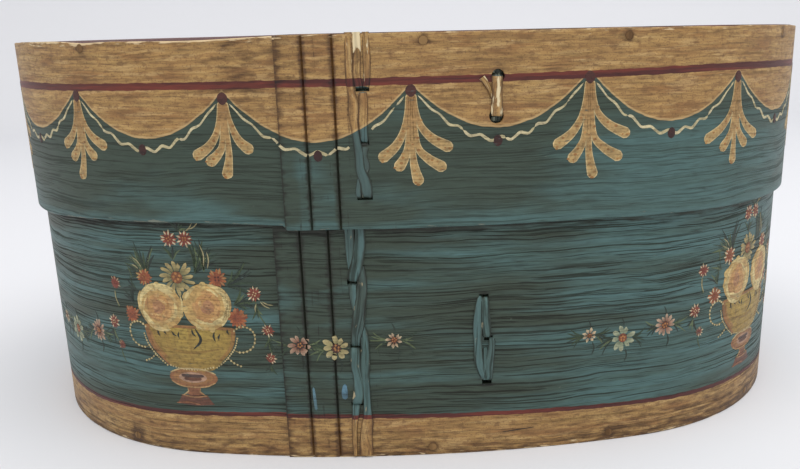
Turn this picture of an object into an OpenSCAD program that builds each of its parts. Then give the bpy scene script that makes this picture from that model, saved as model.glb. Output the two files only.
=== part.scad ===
// Oval bentwood box with a deep lift-off lid.
// Two bands of thin wood are bent round, lapped at the front and sewn with split root.
// Two boards are held in them by wooden pegs.
// The origin is at the middle of the foot, +Z is up, and the lap faces -Y.
// Places along a band are measured round it in mm from the middle of the front, + to the right.

/* [Plan] */
// Length over the body band
box_l = 460; // [430:1:520]
// Width over the body band
box_w = 300; // [270:1:330]
// Radius of the long sides, over the body band
side_r = 585.6; // [500:0.1:800]

/* [Heights] */
// Height to the rim of the lid band
box_h = 215; // [190:1:260]
// Height of the lid band
lid_h = 91.5; // [80:0.5:110]
// Thickness of the bottom board
base_board_t = 9; // [6:0.5:14]
// Thickness of the lid board
lid_board_t = 8; // [6:0.5:14]

/* [Bands] */
// Thickness of the body band
body_t = 3.5; // [3:0.1:5]
// Thickness of the lid band
lid_t = 2.4; // [2:0.1:3.5]
// Play between the lid band and the body band, each side
lid_play = 1.5; // [1.5:0.1:3]
// Length of the flats that make up a band's curve
facet_l = 5; // [3:0.5:8]

/* [Lap] */
// Place of the body band's outer end
body_lap_end = -72; // [-84:1:-60]
// Place of the lid band's outer end
lid_lap_end = -65; // [-84:1:-56]
// Thickness of a band's outer end, proud of the layer under it
lap_tip_t = 1; // [0.6:0.1:1.1]
// Length over which the outer end sinks to the surface
lap_fade = 52; // [40:1:70]
// Length of the lap between the outer and the inner end
lap_len = 117; // [90:1:130]
// Thickness of a band's inner end
inner_tip_t = 0.5; // [0.3:0.1:0.8]
// Gap of the seam between the layers
seam_gap = 0.2; // [0.1:0.05:0.4]
// Width of a scribed line across the lap
scribe_w = 1.2; // [0.6:0.1:2]
// Distances of the scribed lines from the outer end
scribe_at = [13, 27];

/* [Sewing] */
// Width of the split root
root_w = 5; // [4:0.1:6]
// Thickness of the split root
root_t = 0.9; // [0.6:0.05:1]
// Height of a sewing slot
slot_h = 2.6; // [2:0.1:4]
// Play of the root in its slot and bed, each side
root_play = 0.2; // [0.1:0.05:0.5]
// Sideways swing of a strap in the chain stitch
chain_swing = 3.6; // [2:0.1:5]
// Place of the body seam
body_seam = -32; // [-40:1:-28]
// Place of the lid seam
lid_seam = -26; // [-34:1:-22]
// Pitch of the body seam's slots
body_pitch = 33; // [28:0.5:40]
// Height of the body seam's lowest slot
body_slot_z = 30; // [24:1:36]
// Pitch of the lid seam's slots
lid_pitch = 25; // [20:0.5:28]
// Drop of the lid seam's highest slot below the rim
lid_slot_drop = 24.5; // [20:0.5:30]
// Rise of the root's loop over the lid's rim
loop_rise = 0.5; // [0:0.1:0.8]

/* [Tack stitches] */
// Place of the body's tack stitch
body_tack = 32; // [24:1:38]
// Height of the body tack's lowest slot
body_tack_z = 41; // [34:1:48]
// Length of the body's tack stitch
body_tack_l = 44; // [38:1:50]
// Place of the lid's tack stitch
lid_tack = 38; // [30:1:44]
// Drop of the lid tack's highest slot below the rim
lid_tack_drop = 21; // [16:1:28]
// Length of the lid's tack stitch
lid_tack_l = 20; // [16:1:26]

/* [Pegs] */
// Diameter of a peg
peg_d = 4.2; // [3:0.1:5]
// Length of a peg
peg_l = 22; // [14:1:30]
// How far a peg's head stands out of its band
peg_rise = 0.2; // [0:0.05:0.4]
// Share of the way round, from the middle of the front, at which each peg sits
peg_turns = [0.003, 0.08, 0.166, 0.25, 0.334, 0.42, 0.503, 0.587, 0.669, 0.75, 0.87];

/* [Fits] */
// Gap between a board and its band
board_gap = 0.1; // [0.05:0.05:0.3]
// Gap between the body's rim and the lid board that rests on it
rest_gap = 0.3; // [0.1:0.05:0.5]

/* [Hidden] */
$fn = 96;

bare_wood = [0.68, 0.55, 0.38];
blue_paint = [0.27, 0.42, 0.46];
root_paint = [0.36, 0.47, 0.47];
root_pale = [0.74, 0.66, 0.48];
red_paint = [0.40, 0.16, 0.18];
peg_wood = [0.50, 0.38, 0.25];

// The plan is an oval of four arcs, tangent where they meet.
half_l = box_l / 2;
half_w = box_w / 2;
end_r = (2 * side_r * half_w - half_l * half_l - half_w * half_w) / (2 * (side_r - half_l));
end_x = half_l - end_r;
side_y = side_r - half_w;
side_turn = atan2(end_x, side_y);
end_turn = 90 - side_turn;

// Each arc: centre, radius, first angle and sweep, in the order front, right, back, left.
ARCS = [
    [[0, side_y], side_r, -90 - side_turn, 2 * side_turn],
    [[end_x, 0], end_r, -end_turn, 2 * end_turn],
    [[0, -side_y], side_r, 90 - side_turn, 2 * side_turn],
    [[-end_x, 0], end_r, 180 - end_turn, 2 * end_turn],
];
function arc_length(arc) = arc[1] * arc[3] * PI / 180;
side_len = arc_length(ARCS[0]);
end_len = arc_length(ARCS[1]);
round_len = 2 * (side_len + end_len);

// Where each arc starts, measured round the band.
ARC_STARTS = [-side_len / 2, side_len / 2, side_len / 2 + end_len, 1.5 * side_len + end_len];
function arc_at(s) = s < ARC_STARTS[1] ? 0 : s < ARC_STARTS[2] ? 1 : s < ARC_STARTS[3] ? 2 : 3;
function once_round(s) = s - round_len * floor((s - ARC_STARTS[0]) / round_len);

// Direction in which the band faces at a place.
function facing(s) = let (k = arc_at(once_round(s)))
    ARCS[k][2] + (once_round(s) - ARC_STARTS[k]) / ARCS[k][1] * 180 / PI;

// Point at a place, a distance out from the body band's outer face.
function rim_point(s, out) = let (arc = ARCS[arc_at(once_round(s))])
    arc[0] + (arc[1] + out) * [cos(facing(s)), sin(facing(s))];

lid_out = lid_play + lid_t;
lid_z = box_h - lid_h;
lid_board_z = box_h - lid_board_t;
body_h = lid_board_z - rest_gap;
slack = 2; // how far a cutter runs past what it cuts

// Moves its children to a place round the body band's outer face, with +X pointing outwards.
module at_rim(s) {
    translate(rim_point(s, 0)) rotate(facing(s)) children();
}

// Oval board. inset is how far its edge lies inside the body band's outer face.
module oval_board(inset, h) {
    n = ceil(round_len / facet_l);
    linear_extrude(h) polygon([for (i = [0:n - 1]) rim_point(i / n * round_len, -inset)]);
}

// One strip of wood bent round until its ends lap. out is how far its outer face lies outside the
// body band's. Along the strip, from its outer end, the outer face sinks from the tip's thickness
// to the surface; the seam between the layers runs from there to near the inner face, where the
// inner end stops blunt.
module bent_strip(out, t, h, lap_end) {
    strip_l = round_len + lap_len;
    seam_run = lap_len * t / (t - inner_tip_t);
    n = ceil(strip_l / facet_l);
    along = [for (i = [0:n]) strip_l * i / n];
    function face_out(u) = lap_tip_t * max(0, 1 - u / lap_fade) - t * max(0, u - round_len) / seam_run;
    function face_in(u) = max(-t, seam_gap - t * u / seam_run);
    linear_extrude(h) polygon(concat(
        [for (u = along) rim_point(lap_end + u, out + face_out(u))],
        [for (i = [n:-1:0]) rim_point(lap_end + along[i], out + face_in(along[i]))]
    ));
}

// Scribed lines across the outer end of the lap.
module scribed_lines(out, h, lap_end) {
    for (d = scribe_at)
        at_rim(lap_end + d)
            translate([out + lap_tip_t * (1 - d / lap_fade), 0, -slack])
                linear_extrude(h + 2 * slack) rotate(45) square(scribe_w / sqrt(2), center = true);
}

// Slots through the band, each with its upper edge at a height in tops.
module slots(s, out, t, tops) {
    for (top = tops)
        at_rim(s) translate([out - t - slack, -root_w / 2 - root_play, top - slot_h])
            cube([t + 2 * slack, root_w + 2 * root_play, slot_h]);
}

// Flat bed in the inner face, in which the root lies flush.
module inner_bed(s, out, t, z, h) {
    at_rim(s) translate([out - t - slack, -root_w / 2 - root_play, z])
        cube([slack + root_t, root_w + 2 * root_play, h]);
}

// Flat bed in the outer face under a chain stitch, so that its straps seat on the wood.
module outer_bed(s, out, z, h) {
    at_rim(s) translate([out, chain_left - root_play, z])
        cube([slack, chain_w + 2 * root_play, h]);
}

// Bores for the pegs, on their own axes.
module peg_bores(out, z) {
    for (turn = peg_turns)
        at_rim(turn * round_len) translate([out - peg_l + peg_rise, 0, z]) rotate([0, 90, 0])
            cylinder(d = peg_d, h = peg_l + slack);
}

module pegs(out, z) {
    for (turn = peg_turns)
        at_rim(turn * round_len) translate([out - peg_l + peg_rise, 0, z]) rotate([0, 90, 0])
            cylinder(d = peg_d, h = peg_l);
}

// Edge line of a strap that swings sideways between two heights.
function swing(z_top, z_bottom, y_top, y_bottom, bulge, side, n = 12) = [
    for (i = [0:n])
        let (u = side > 0 ? i / n : 1 - i / n)
        [y_top + (y_bottom - y_top) * u + bulge * sin(180 * u) + side * root_w / 2, z_top + (z_bottom - z_top) * u]
];

// Flat strap seated on the band, from one height to another.
module strap(out, z_top, z_bottom, y_top, y_bottom, bulge, lift = root_t) {
    translate([out, 0, 0]) rotate([90, 0, 90]) linear_extrude(lift)
        polygon(concat(
            swing(z_top, z_bottom, y_top, y_bottom, bulge, 1),
            swing(z_top, z_bottom, y_top, y_bottom, bulge, -1)
        ));
}

// Root pulled through the band under a height, from its inner run to the strap outside.
module through(out, t, top) {
    translate([out - t, -root_w / 2, top - root_t]) cube([t + root_t, root_w, root_t]);
}

// Run of the root along the inner face.
module inner_run(out, t, z_top, z_bottom) {
    translate([out - t, -root_w / 2, z_bottom]) cube([root_t, root_w, z_top - z_bottom]);
}

// Loop of the root over a rim, at a height.
module rim_loop(out, t, z) {
    translate([out - t, chain_left, z]) cube([t + root_t, chain_w, root_t]);
}

// Chain stitch over levels from the top down: slots, and a level past each rim that it loops over.
// Each strap comes out low in a slot, passes the next slot on the right and goes in high at the one after.
module chain(out, levels) {
    for (i = [0:len(levels) - 3])
        strap(out, levels[i] - slot_h + root_t, levels[i + 2] - root_t,
            -chain_swing / 2, -chain_swing / 4, chain_swing);
}

// Width that the straps of a chain stitch cover, and its left edge.
chain_w = root_w + chain_swing * 9 / 8;
chain_left = -(root_w + chain_swing) / 2;

// Heights of the seams' slots, from the top down.
body_slot_count = floor((body_h - body_slot_z) / body_pitch);
body_slots = [for (i = [body_slot_count - 1:-1:0]) body_slot_z + i * body_pitch];
body_levels = concat([body_h + body_pitch, body_h], body_slots, [0, -body_pitch]);
lid_slot_count = floor((lid_h - lid_slot_drop) / lid_pitch) + 1;
lid_slots = [for (i = [0:lid_slot_count - 1]) box_h - lid_slot_drop - i * lid_pitch];
lid_last_slot = lid_slots[lid_slot_count - 1];
lid_levels = concat([box_h + lid_pitch, box_h], lid_slots);
lid_rim = box_h + loop_rise;

// Ends of the tack stitches' straps.
body_tack_top = body_tack_z + body_tack_l;
body_tack_mid = body_tack_z + body_tack_l / 2;
lid_tack_top = box_h - lid_tack_drop;
lid_tack_z = lid_tack_top - lid_tack_l;

// Notch in a rim where the root loops over it.
module rim_notch(s, out, t, z) {
    at_rim(s) translate([out - t - slack, chain_left - root_play, z])
        cube([t + 2 * slack, chain_w + 2 * root_play, root_t + slack]);
}

module body_band() color(blue_paint) {
    difference() {
        bent_strip(0, body_t, body_h, body_lap_end);
        scribed_lines(0, body_h, body_lap_end);
        outer_bed(body_seam, 0, -slack, body_h + 2 * slack);
        inner_bed(body_seam, 0, body_t, -slack, body_h + 2 * slack);
        slots(body_seam, 0, body_t, body_slots);
        rim_notch(body_seam, 0, body_t, body_h - root_t);
        rim_notch(body_seam, 0, body_t, -slack);
        inner_bed(body_tack, 0, body_t, body_tack_z - slot_h, body_tack_l + 2 * slot_h);
        slots(body_tack, 0, body_t, [body_tack_z, body_tack_mid, body_tack_top + slot_h]);
        peg_bores(0, base_board_t / 2);
    }
}

module bottom_board() color(bare_wood) {
    difference() {
        oval_board(body_t + board_gap, base_board_t);
        peg_bores(0, base_board_t / 2);
    }
}

module bottom_pegs() color(peg_wood) pegs(0, base_board_t / 2);

module body_seam_sewing() color(root_paint) {
    at_rim(body_seam) {
        intersection() {
            chain(0, body_levels);
            translate([-slack, chain_left - slack, 0]) cube([2 * slack, chain_w + 2 * slack, body_h]);
        }
        for (top = body_slots) {
            through(0, body_t, top);
            through(0, body_t, top - slot_h + root_t);
        }
        rim_loop(0, body_t, 0);
        rim_loop(0, body_t, body_h - root_t);
        inner_run(0, body_t, body_h, 0);
    }
}

module body_tack_stitch() color(root_paint) {
    at_rim(body_tack) {
        strap(0, body_tack_top + root_t, body_tack_z - root_t, -root_w / 4, -root_w / 4, -root_w / 2);
        strap(0, body_tack_top + root_t, body_tack_mid - root_t, root_w / 4, root_w / 4, 0);
        strap(0, body_tack_mid - slot_h + root_t, body_tack_z - root_t, root_w / 2, root_w / 4, 0);
        for (top = [body_tack_z, body_tack_mid, body_tack_mid - slot_h + root_t, body_tack_top + root_t])
            through(0, body_t, top);
        inner_run(0, body_t, body_tack_top + root_t, body_tack_z - root_t);
    }
}

module lid_band() color(blue_paint) {
    difference() {
        translate([0, 0, lid_z]) bent_strip(lid_out, lid_t, lid_h, lid_lap_end);
        translate([0, 0, lid_z]) scribed_lines(lid_out, lid_h, lid_lap_end);
        outer_bed(lid_seam, lid_out, lid_z - slack, lid_h + 2 * slack);
        inner_bed(lid_seam, lid_out, lid_t, lid_last_slot - slot_h, lid_h);
        slots(lid_seam, lid_out, lid_t, lid_slots);
        rim_notch(lid_seam, lid_out, lid_t, lid_rim - root_t);
        inner_bed(lid_tack, lid_out, lid_t, lid_tack_z - slot_h, lid_tack_l + 2 * slot_h);
        slots(lid_tack, lid_out, lid_t, [lid_tack_z, lid_tack_top + slot_h]);
        peg_bores(lid_out, box_h - lid_board_t / 2);
    }
}

module lid_board() color(red_paint) {
    difference() {
        translate([0, 0, lid_board_z]) oval_board(board_gap - lid_play, lid_board_t);
        peg_bores(lid_out, box_h - lid_board_t / 2);
    }
}

module lid_pegs() color(peg_wood) pegs(lid_out, box_h - lid_board_t / 2);

module lid_seam_sewing() color(root_pale) {
    at_rim(lid_seam) {
        intersection() {
            chain(lid_out, lid_levels);
            translate([lid_out - slack, chain_left - slack, lid_z])
                cube([2 * slack, chain_w + 2 * slack, lid_rim - lid_z]);
        }
        for (top = lid_slots) through(lid_out, lid_t, top);
        for (i = [0:lid_slot_count - 2]) through(lid_out, lid_t, lid_slots[i] - slot_h + root_t);
        rim_loop(lid_out, lid_t, lid_rim - root_t);
        inner_run(lid_out, lid_t, lid_rim, lid_last_slot - root_t);
    }
}

module lid_tack_stitch() color(root_pale) {
    at_rim(lid_tack) {
        strap(lid_out, lid_tack_top + root_t, lid_tack_z - root_t, 0, 0, 0);
        for (top = [lid_tack_z, lid_tack_top + root_t]) through(lid_out, lid_t, top);
        inner_run(lid_out, lid_t, lid_tack_top + root_t, lid_tack_z - root_t);
    }
}

body_band();
bottom_board();
bottom_pegs();
body_seam_sewing();
body_tack_stitch();
lid_band();
lid_board();
lid_pegs();
lid_seam_sewing();
lid_tack_stitch();
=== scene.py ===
"""Looks of an oval bentwood box with a deep lift-off lid.

Two bands of thin wood are bent round, lapped at the front and sewn with split root. Each is drawn
flat, as the maker's strip is before bending, and then bent round the oval. A flat place is (s, lift, z):
s is measured round the band from the middle of the front, + to the right, lift stands out of the
band's face, and z is the height. All three are in mm. The paint is drawn on the flat strip too.
"""

import math

import bmesh
import bpy
import numpy as np
from mathutils import Matrix, Vector


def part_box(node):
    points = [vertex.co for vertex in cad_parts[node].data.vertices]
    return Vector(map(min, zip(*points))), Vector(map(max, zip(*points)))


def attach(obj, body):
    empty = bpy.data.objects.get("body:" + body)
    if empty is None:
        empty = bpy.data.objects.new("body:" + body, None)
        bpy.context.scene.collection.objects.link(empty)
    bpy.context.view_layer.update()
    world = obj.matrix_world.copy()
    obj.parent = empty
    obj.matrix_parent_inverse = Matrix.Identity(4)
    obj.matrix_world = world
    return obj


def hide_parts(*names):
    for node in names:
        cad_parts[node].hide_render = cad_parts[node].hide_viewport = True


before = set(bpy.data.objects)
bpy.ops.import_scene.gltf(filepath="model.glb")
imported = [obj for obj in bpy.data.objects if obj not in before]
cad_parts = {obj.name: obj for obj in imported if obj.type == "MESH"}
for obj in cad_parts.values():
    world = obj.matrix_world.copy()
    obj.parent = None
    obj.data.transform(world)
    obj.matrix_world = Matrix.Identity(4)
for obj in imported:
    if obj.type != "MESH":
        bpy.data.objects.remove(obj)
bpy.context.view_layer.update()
MM = 0.001
rng = np.random.default_rng(1830)

# --- Sizes, in mm -----------------------------------------------------------------------------

# Plan of the body band's outer face: an oval of four arcs, tangent where they meet
HALF_L, HALF_W, SIDE_R = 230.0, 150.0, 585.6
END_R = (2 * SIDE_R * HALF_W - HALF_L**2 - HALF_W**2) / (2 * (SIDE_R - HALF_L))
END_X = HALF_L - END_R
SIDE_Y = SIDE_R - HALF_W
SIDE_TURN = math.atan2(END_X, SIDE_Y)

# Laps: the outer end's thickness and the length over which it sinks, the lap's length, the inner end's
# thickness and the gap over it. Two lines are scribed into the lap, so wide and so deep.
LAP_TIP, LAP_FADE, LAP_LEN, INNER_TIP, SEAM_GAP = 1.0, 52.0, 117.0, 0.5, 0.2
SCRIBED_AT, SCRIBE_W, SCRIBE_DEPTH = (13.0, 27.0), 1.3, 0.75
# How far the bands' edges are rounded
RIM_ROUND = 0.7

# Pegs, and where they stand, in parts of the way round. The root's thickness, and its slots' height.
PEG_D, PEG_L, PEG_RISE = 4.2, 22.0, 0.2
PEG_TURNS = (0.003, 0.08, 0.166, 0.25, 0.334, 0.42, 0.503, 0.587, 0.669, 0.75, 0.87)
ROOT_T, SLOT_H = 0.9, 2.6

BODY_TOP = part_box("body_band")[1].z / MM
LID_LOW, LID_TOP = (corner.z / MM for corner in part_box("lid_band"))
BASE_BOARD_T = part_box("bottom_board")[1].z / MM
LID_BOARD_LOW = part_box("lid_board")[0].z / MM


def oval_length(out):
    """Length round the oval, a distance out from the body band's face."""
    return 4 * SIDE_TURN * (SIDE_R + out) + 2 * (math.pi - 2 * SIDE_TURN) * (END_R + out)


def oval_point(s, out):
    """Point and outward direction at a place round the oval that lies out from the body's face."""
    side, end = 2 * SIDE_TURN * (SIDE_R + out), (math.pi - 2 * SIDE_TURN) * (END_R + out)
    arcs = (
        (0, SIDE_Y, SIDE_R, -math.pi / 2 - SIDE_TURN, side),
        (END_X, 0, END_R, SIDE_TURN - math.pi / 2, end),
        (0, -SIDE_Y, SIDE_R, math.pi / 2 - SIDE_TURN, side),
        (-END_X, 0, END_R, math.pi / 2 + SIDE_TURN, end),
    )
    run = (s + side / 2) % oval_length(out)
    for x, y, radius, first, length in arcs:
        if run <= length:
            break
        run -= length
    turn = first + run / (radius + out)
    reach = radius + out
    return x + reach * math.cos(turn), y + reach * math.sin(turn), turn


class Band:
    """One bent strip: its outer face lies out from the body's, and u runs along it from the lap's end."""

    def __init__(self, name, out, thick, low, high, lap_end, seam):
        self.name, self.out, self.thick, self.low, self.high = name, out, thick, low, high
        self.lap_end, self.seam = lap_end, seam
        self.round = oval_length(out)
        self.seam_run = LAP_LEN * thick / (thick - INNER_TIP)

    def near(self, s):
        """The same place from the middle of the front: + to the right, - to the left."""
        return (s + self.round / 2) % self.round - self.round / 2

    def outer(self, u):
        """Lift of the outer face: raised at the lap's end, and sunk where the lap covers it."""
        sunk = self.thick * np.maximum(0, u - self.round) / self.seam_run
        return LAP_TIP * np.maximum(0, 1 - u / LAP_FADE) - sunk

    def inner(self, u):
        """Lift of the inner face, which clears the end that lies under it."""
        return np.maximum(-self.thick, SEAM_GAP - self.thick * u / self.seam_run)

    def lap_lift(self, s):
        """How far the lap's outer end lifts the face at a place near the front."""
        return float(self.outer(s - self.lap_end)) if s >= self.lap_end else 0.0


# Name, how far out, thickness, foot, rim, place of the lap's end, places between which the seam lies
BODY = Band("body", 0.0, 3.5, 0.0, BODY_TOP, -72.0, (-37.5, -27.0))
LID = Band("lid", 3.9, 2.4, LID_LOW, LID_TOP, -65.0, (-31.5, -21.0))
BANDS = (BODY, LID)

# Swags painted round the lid. As seen at the front: the peaks, how deep each swag hangs and the dots
# under it. Round the rest: how many swags in all, how deep they hang and how high the peaks are.
FRONT_PEAKS = ((-172, 188.5), (-91, 186.8), (-2.5, 188.7), (82.5, 192.5), (167, 190))
FRONT_DEPTHS = (22.5, 25.0, 23.0, 24.0)
FRONT_LOWS = ((-134, 163), (-47, 159.5), (38, 164.5), (126, 164.5), (209, 166))
SWAGS, SWAG_DEPTH, PEAK_Z = 15, 23.0, 190.0
# The dark red lines' widths
LID_LINE_W, BODY_LINE_W = 3.5, 2.4


def smooth(points, step):
    """A smooth run of places, about a step apart, through the points. Extra columns are carried along."""
    p = np.asarray(points, float)
    if len(p) == 2:
        n = max(2, int(np.hypot(*(p[1, :2] - p[0, :2])) / step) + 1)
        return p[0] + (p[1] - p[0]) * np.linspace(0, 1, n)[:, None]
    p = np.vstack([2 * p[0] - p[1], p, 2 * p[-1] - p[-2]])
    run = []
    for a, b, c, d in zip(p, p[1:], p[2:], p[3:]):
        n = max(1, int(np.linalg.norm(c[:3] - b[:3]) / step))
        t = (np.arange(n) / n)[:, None]
        cubed = 3 * b - a - 3 * c + d
        run.append(0.5 * (2 * b + (c - a) * t + (2 * a - 5 * b + 4 * c - d) * t**2 + cubed * t**3))
    return np.vstack(run + [p[-2][None]])


def waves(s, z, size, reach, seed):
    """Slow unevenness of a hand-made face, the same way round and back again."""
    pick = np.random.default_rng(seed)
    total = np.zeros(np.broadcast(s, z).shape)
    for k in range(6):
        turns = pick.uniform(0.6, 1.6) * (k + 2) / size
        lean = pick.uniform(-0.6, 0.6) * turns
        total = total + np.sin(turns * s + lean * z + pick.uniform(0, 6.3)) / (k + 2)
    return reach * total


# --- Paint lines, as heights at a place ---------------------------------------------------------


def lid_peaks():
    """Places and heights of the swags' peaks, from the front's first one once round."""
    start, turns = FRONT_PEAKS[-1][0], SWAGS - len(FRONT_PEAKS) + 1
    gap = (LID.round + FRONT_PEAKS[0][0] - start) / turns
    rest = [(start + gap * k, PEAK_Z + 1.2 * math.sin(2.1 * k)) for k in range(1, turns)]
    return list(FRONT_PEAKS) + rest


def swag_edge(s):
    """Height of the cream's scalloped edge at places round the lid."""
    peaks = lid_peaks()
    first = peaks[0][0]
    ends = peaks + [(first + LID.round, peaks[0][1])]
    depths = list(FRONT_DEPTHS) + [SWAG_DEPTH + 1.5 * math.sin(1.7 * k) for k in range(SWAGS)]
    run = first + (np.asarray(s, float) - first) % LID.round
    height = np.zeros_like(run)
    for (s0, z0), (s1, z1), depth in zip(ends, ends[1:], depths):
        t = np.clip((run - s0) / (s1 - s0), 0, 1)
        sag = 1 - np.abs(2 * t - 1) ** 2
        height = np.where((run >= s0) & (run <= s1), 3.2 + z0 + (z1 - z0) * t - depth * sag, height)
    return height


def lid_line(s):
    """Height of the dark red line round the lid."""
    line = np.interp(LID.near(s), (-400, -170, 0, 170, 400), (194.0, 192.6, 193.1, 195.0, 194.0))
    return line + waves(s, 0, 90, 0.2, 5)


def body_line(s):
    """Height of the dark red line round the foot, which rises a little to the left of the lap."""
    places = (-190, -75, -70, 60, 120, 180, 235, 400)
    heights = (21.2, 24.3, 23.8, 21.4, 20.2, 19.4, 18.4, 21.0)
    return np.interp(BODY.near(s), places, heights) + waves(s, 0, 60, 0.2, 6)


def paint_heights(band, s, z):
    """Signed heights, in m: how far into the cream a place lies, and how far above the dark red line."""
    if band is LID:
        return (z - swag_edge(s)) * MM, (z - lid_line(s)) * MM
    line = body_line(s)
    return (line - z) * MM, (z - line) * MM


# Patches at the front where the blue has yellowed more, or less: each one's place and height, how far it
# reaches along and up, and its share
LID_PATCHES = (
    (-203, 128, 15, 8, -0.3),
    (-124, 146, 28, 12, -0.35),
    (-105, 131, 18, 7, -0.45),
    (-37, 154, 12, 12, 0.35),
    (10, 152, 25, 7, 0.3),
    (58, 133, 45, 10, -0.5),
    (154, 129, 22, 8, -0.5),
)
BODY_PATCHES = (
    (-177, 69, 12, 10, -0.4),
    (-125, 36, 30, 10, 0.25),
    (-92, 80, 10, 10, -0.25),
    (-69, 44, 12, 8, -0.35),
    (-56, 96, 15, 30, 0.45),
    (24, 110, 30, 9, -0.35),
    (78, 86, 28, 22, -0.6),
    (102, 114, 22, 9, -0.45),
    (50, 33, 45, 12, 0.45),
    (118, 34, 20, 8, 0.4),
)


def band_grime(band, s, z):
    """How yellowed the blue is at a place: most at the front left and round the lap."""
    near = band.near(s)
    patches = 0
    for place, height, along, up, share in LID_PATCHES if band is LID else BODY_PATCHES:
        patches = patches + share * np.exp(-(((near - place) / along) ** 2) - ((z - height) / up) ** 2)
    if band is LID:
        front = np.interp(near, (-260, -200, -80, -10, 60, 140, 220), (0.3, 0.65, 0.6, 0.5, 0.3, -0.25, 0.0))
        u = s - band.lap_end
        clean = np.interp(u, (5, 9, 25, 26), (0, 0.6, 0.6, 0)) * np.interp(z, (150, 164), (1, 0))
        clean = clean + np.interp(z - lid_foot(s), (0, 1.6, 5), (1.4, 0.8, 0))
        return front + np.interp(swag_edge(s) - z, (0, 10, 30), (0.35, 0.25, 0)) - clean + patches
    front = np.interp(near, (-260, -180, -80, -20, 70, 120, 220), (0.15, 0.15, 0.35, 0.5, 0.4, -0.1, 0.05))
    return front + np.interp(z, (22, 34, 60), (-0.1, -0.15, 0.0)) + patches


def lid_rim(s):
    """Height of the lid's worn rim."""
    places = (-200, -186, -164, -145, -120, -94, -74, -60)
    worn = np.interp(LID.near(s), places, (0, 0.2, 1.5, 1.1, 1.4, 1.3, 0.6, 0.15))
    return LID.high - 0.25 - worn + np.minimum(0.2, waves(s, 0, 30, 0.16, 8))


def lid_foot(s):
    """Height of the lid's lower edge, which has lifted at the front left."""
    places = (-330, -215, -170, -120, -78, -66, -64)
    lifted = np.interp(LID.near(s), places, (0, 0.8, 3.0, 3.6, 2.6, 2.3, 0))
    return LID.low + lifted + 0.15 + np.maximum(-0.12, waves(s, 0, 40, 0.12, 9))


# --- Nodes --------------------------------------------------------------------------------------

MATH, VECTOR, MIX = "ShaderNodeMath", "ShaderNodeVectorMath", "ShaderNodeMix"
NOISE, RANGE, NAMED = "ShaderNodeTexNoise", "ShaderNodeMapRange", "GeometryNodeInputNamedAttribute"
# What each tree that bends a flat shape is given: the shape, the oval and the length round it
ON_OVAL = (
    ("Geometry", "NodeSocketGeometry", None),
    ("Oval", "NodeSocketObject", None),
    ("Length", "NodeSocketFloat", 1.0),
)


def add(tree, kind, *values, at=None, out=0, **settings):
    """Adds one node and returns one of its outputs.

    Values go to its inputs in their order, or in 'at' by name. One that is a socket is linked.
    """
    node = tree.nodes.new(kind)
    for key, value in settings.items():
        setattr(node, key, value)
    for key, value in {**dict(enumerate(values)), **(at or {})}.items():
        if isinstance(value, bpy.types.NodeSocket):
            tree.links.new(value, node.inputs[key])
        else:
            node.inputs[key].default_value = value
    return node.outputs[out] if len(node.outputs) else None


def new_tree(name, kind, sockets, outputs=(("Geometry", "NodeSocketGeometry"),)):
    """An empty node tree with named inputs, each with its type and value."""
    tree = bpy.data.node_groups.new(name, kind)
    for label, socket_type, value in sockets:
        socket = tree.interface.new_socket(label, in_out="INPUT", socket_type=socket_type)
        if value is not None:
            socket.default_value = value
    for label, socket_type in outputs:
        tree.interface.new_socket(label, in_out="OUTPUT", socket_type=socket_type)
    return tree, tree.nodes.new("NodeGroupInput").outputs


def put(name, data):
    """An object in the scene that holds a mesh, curve, lamp or camera."""
    obj = bpy.data.objects.new(name, data)
    bpy.context.scene.collection.objects.link(obj)
    return obj


def grow(base, tree, inputs):
    """Runs a Geometry Nodes tree on an object and returns the result as a plain object in its place."""
    modifier = base.modifiers.new(tree.name, "NODES")
    modifier.node_group = tree
    for item in tree.interface.items_tree:
        if item.item_type == "SOCKET" and item.in_out == "INPUT" and item.name in inputs:
            modifier[item.identifier] = inputs[item.name]
    return settle(base)


def settle(base):
    """Replaces an object by a plain one that holds its evaluated mesh."""
    graph = bpy.context.evaluated_depsgraph_get()
    evaluated = base.evaluated_get(graph)
    mesh = bpy.data.meshes.new_from_object(evaluated, preserve_all_data_layers=True, depsgraph=graph)
    name = base.name
    bpy.data.objects.remove(base)
    return put(name, mesh)


def bend_tree():
    """Moves a flat shape onto the oval. Flat places are (s, -lift, z), in metres."""
    tree, face = new_tree("bend round the oval", "GeometryNodeTree", ON_OVAL)
    flat = add(tree, "ShaderNodeSeparateXYZ", add(tree, "GeometryNodeInputPosition")).node.outputs
    place = add(tree, MATH, flat[0], face["Length"], operation="FLOORED_MODULO")
    oval = add(tree, "GeometryNodeObjectInfo", face["Oval"], out="Geometry")
    on_oval = add(tree, "GeometryNodeSampleCurve", oval, at={"Length": place}, mode="LENGTH").node.outputs
    outward = add(tree, VECTOR, on_oval["Tangent"], (0, 0, 1), operation="CROSS_PRODUCT")
    lift = add(tree, MATH, flat[1], -1.0, operation="MULTIPLY")
    stand = add(tree, VECTOR, outward, at={"Scale": lift}, operation="SCALE")
    height = add(tree, "ShaderNodeCombineXYZ", at={2: flat[2]})
    foot = add(tree, VECTOR, on_oval["Position"], height)
    stood_out = add(tree, VECTOR, foot, stand)
    bent = add(tree, "GeometryNodeSetPosition", face["Geometry"], at={"Position": stood_out})
    add(tree, "NodeGroupOutput", bent)
    return tree


BEND = bend_tree()


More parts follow.
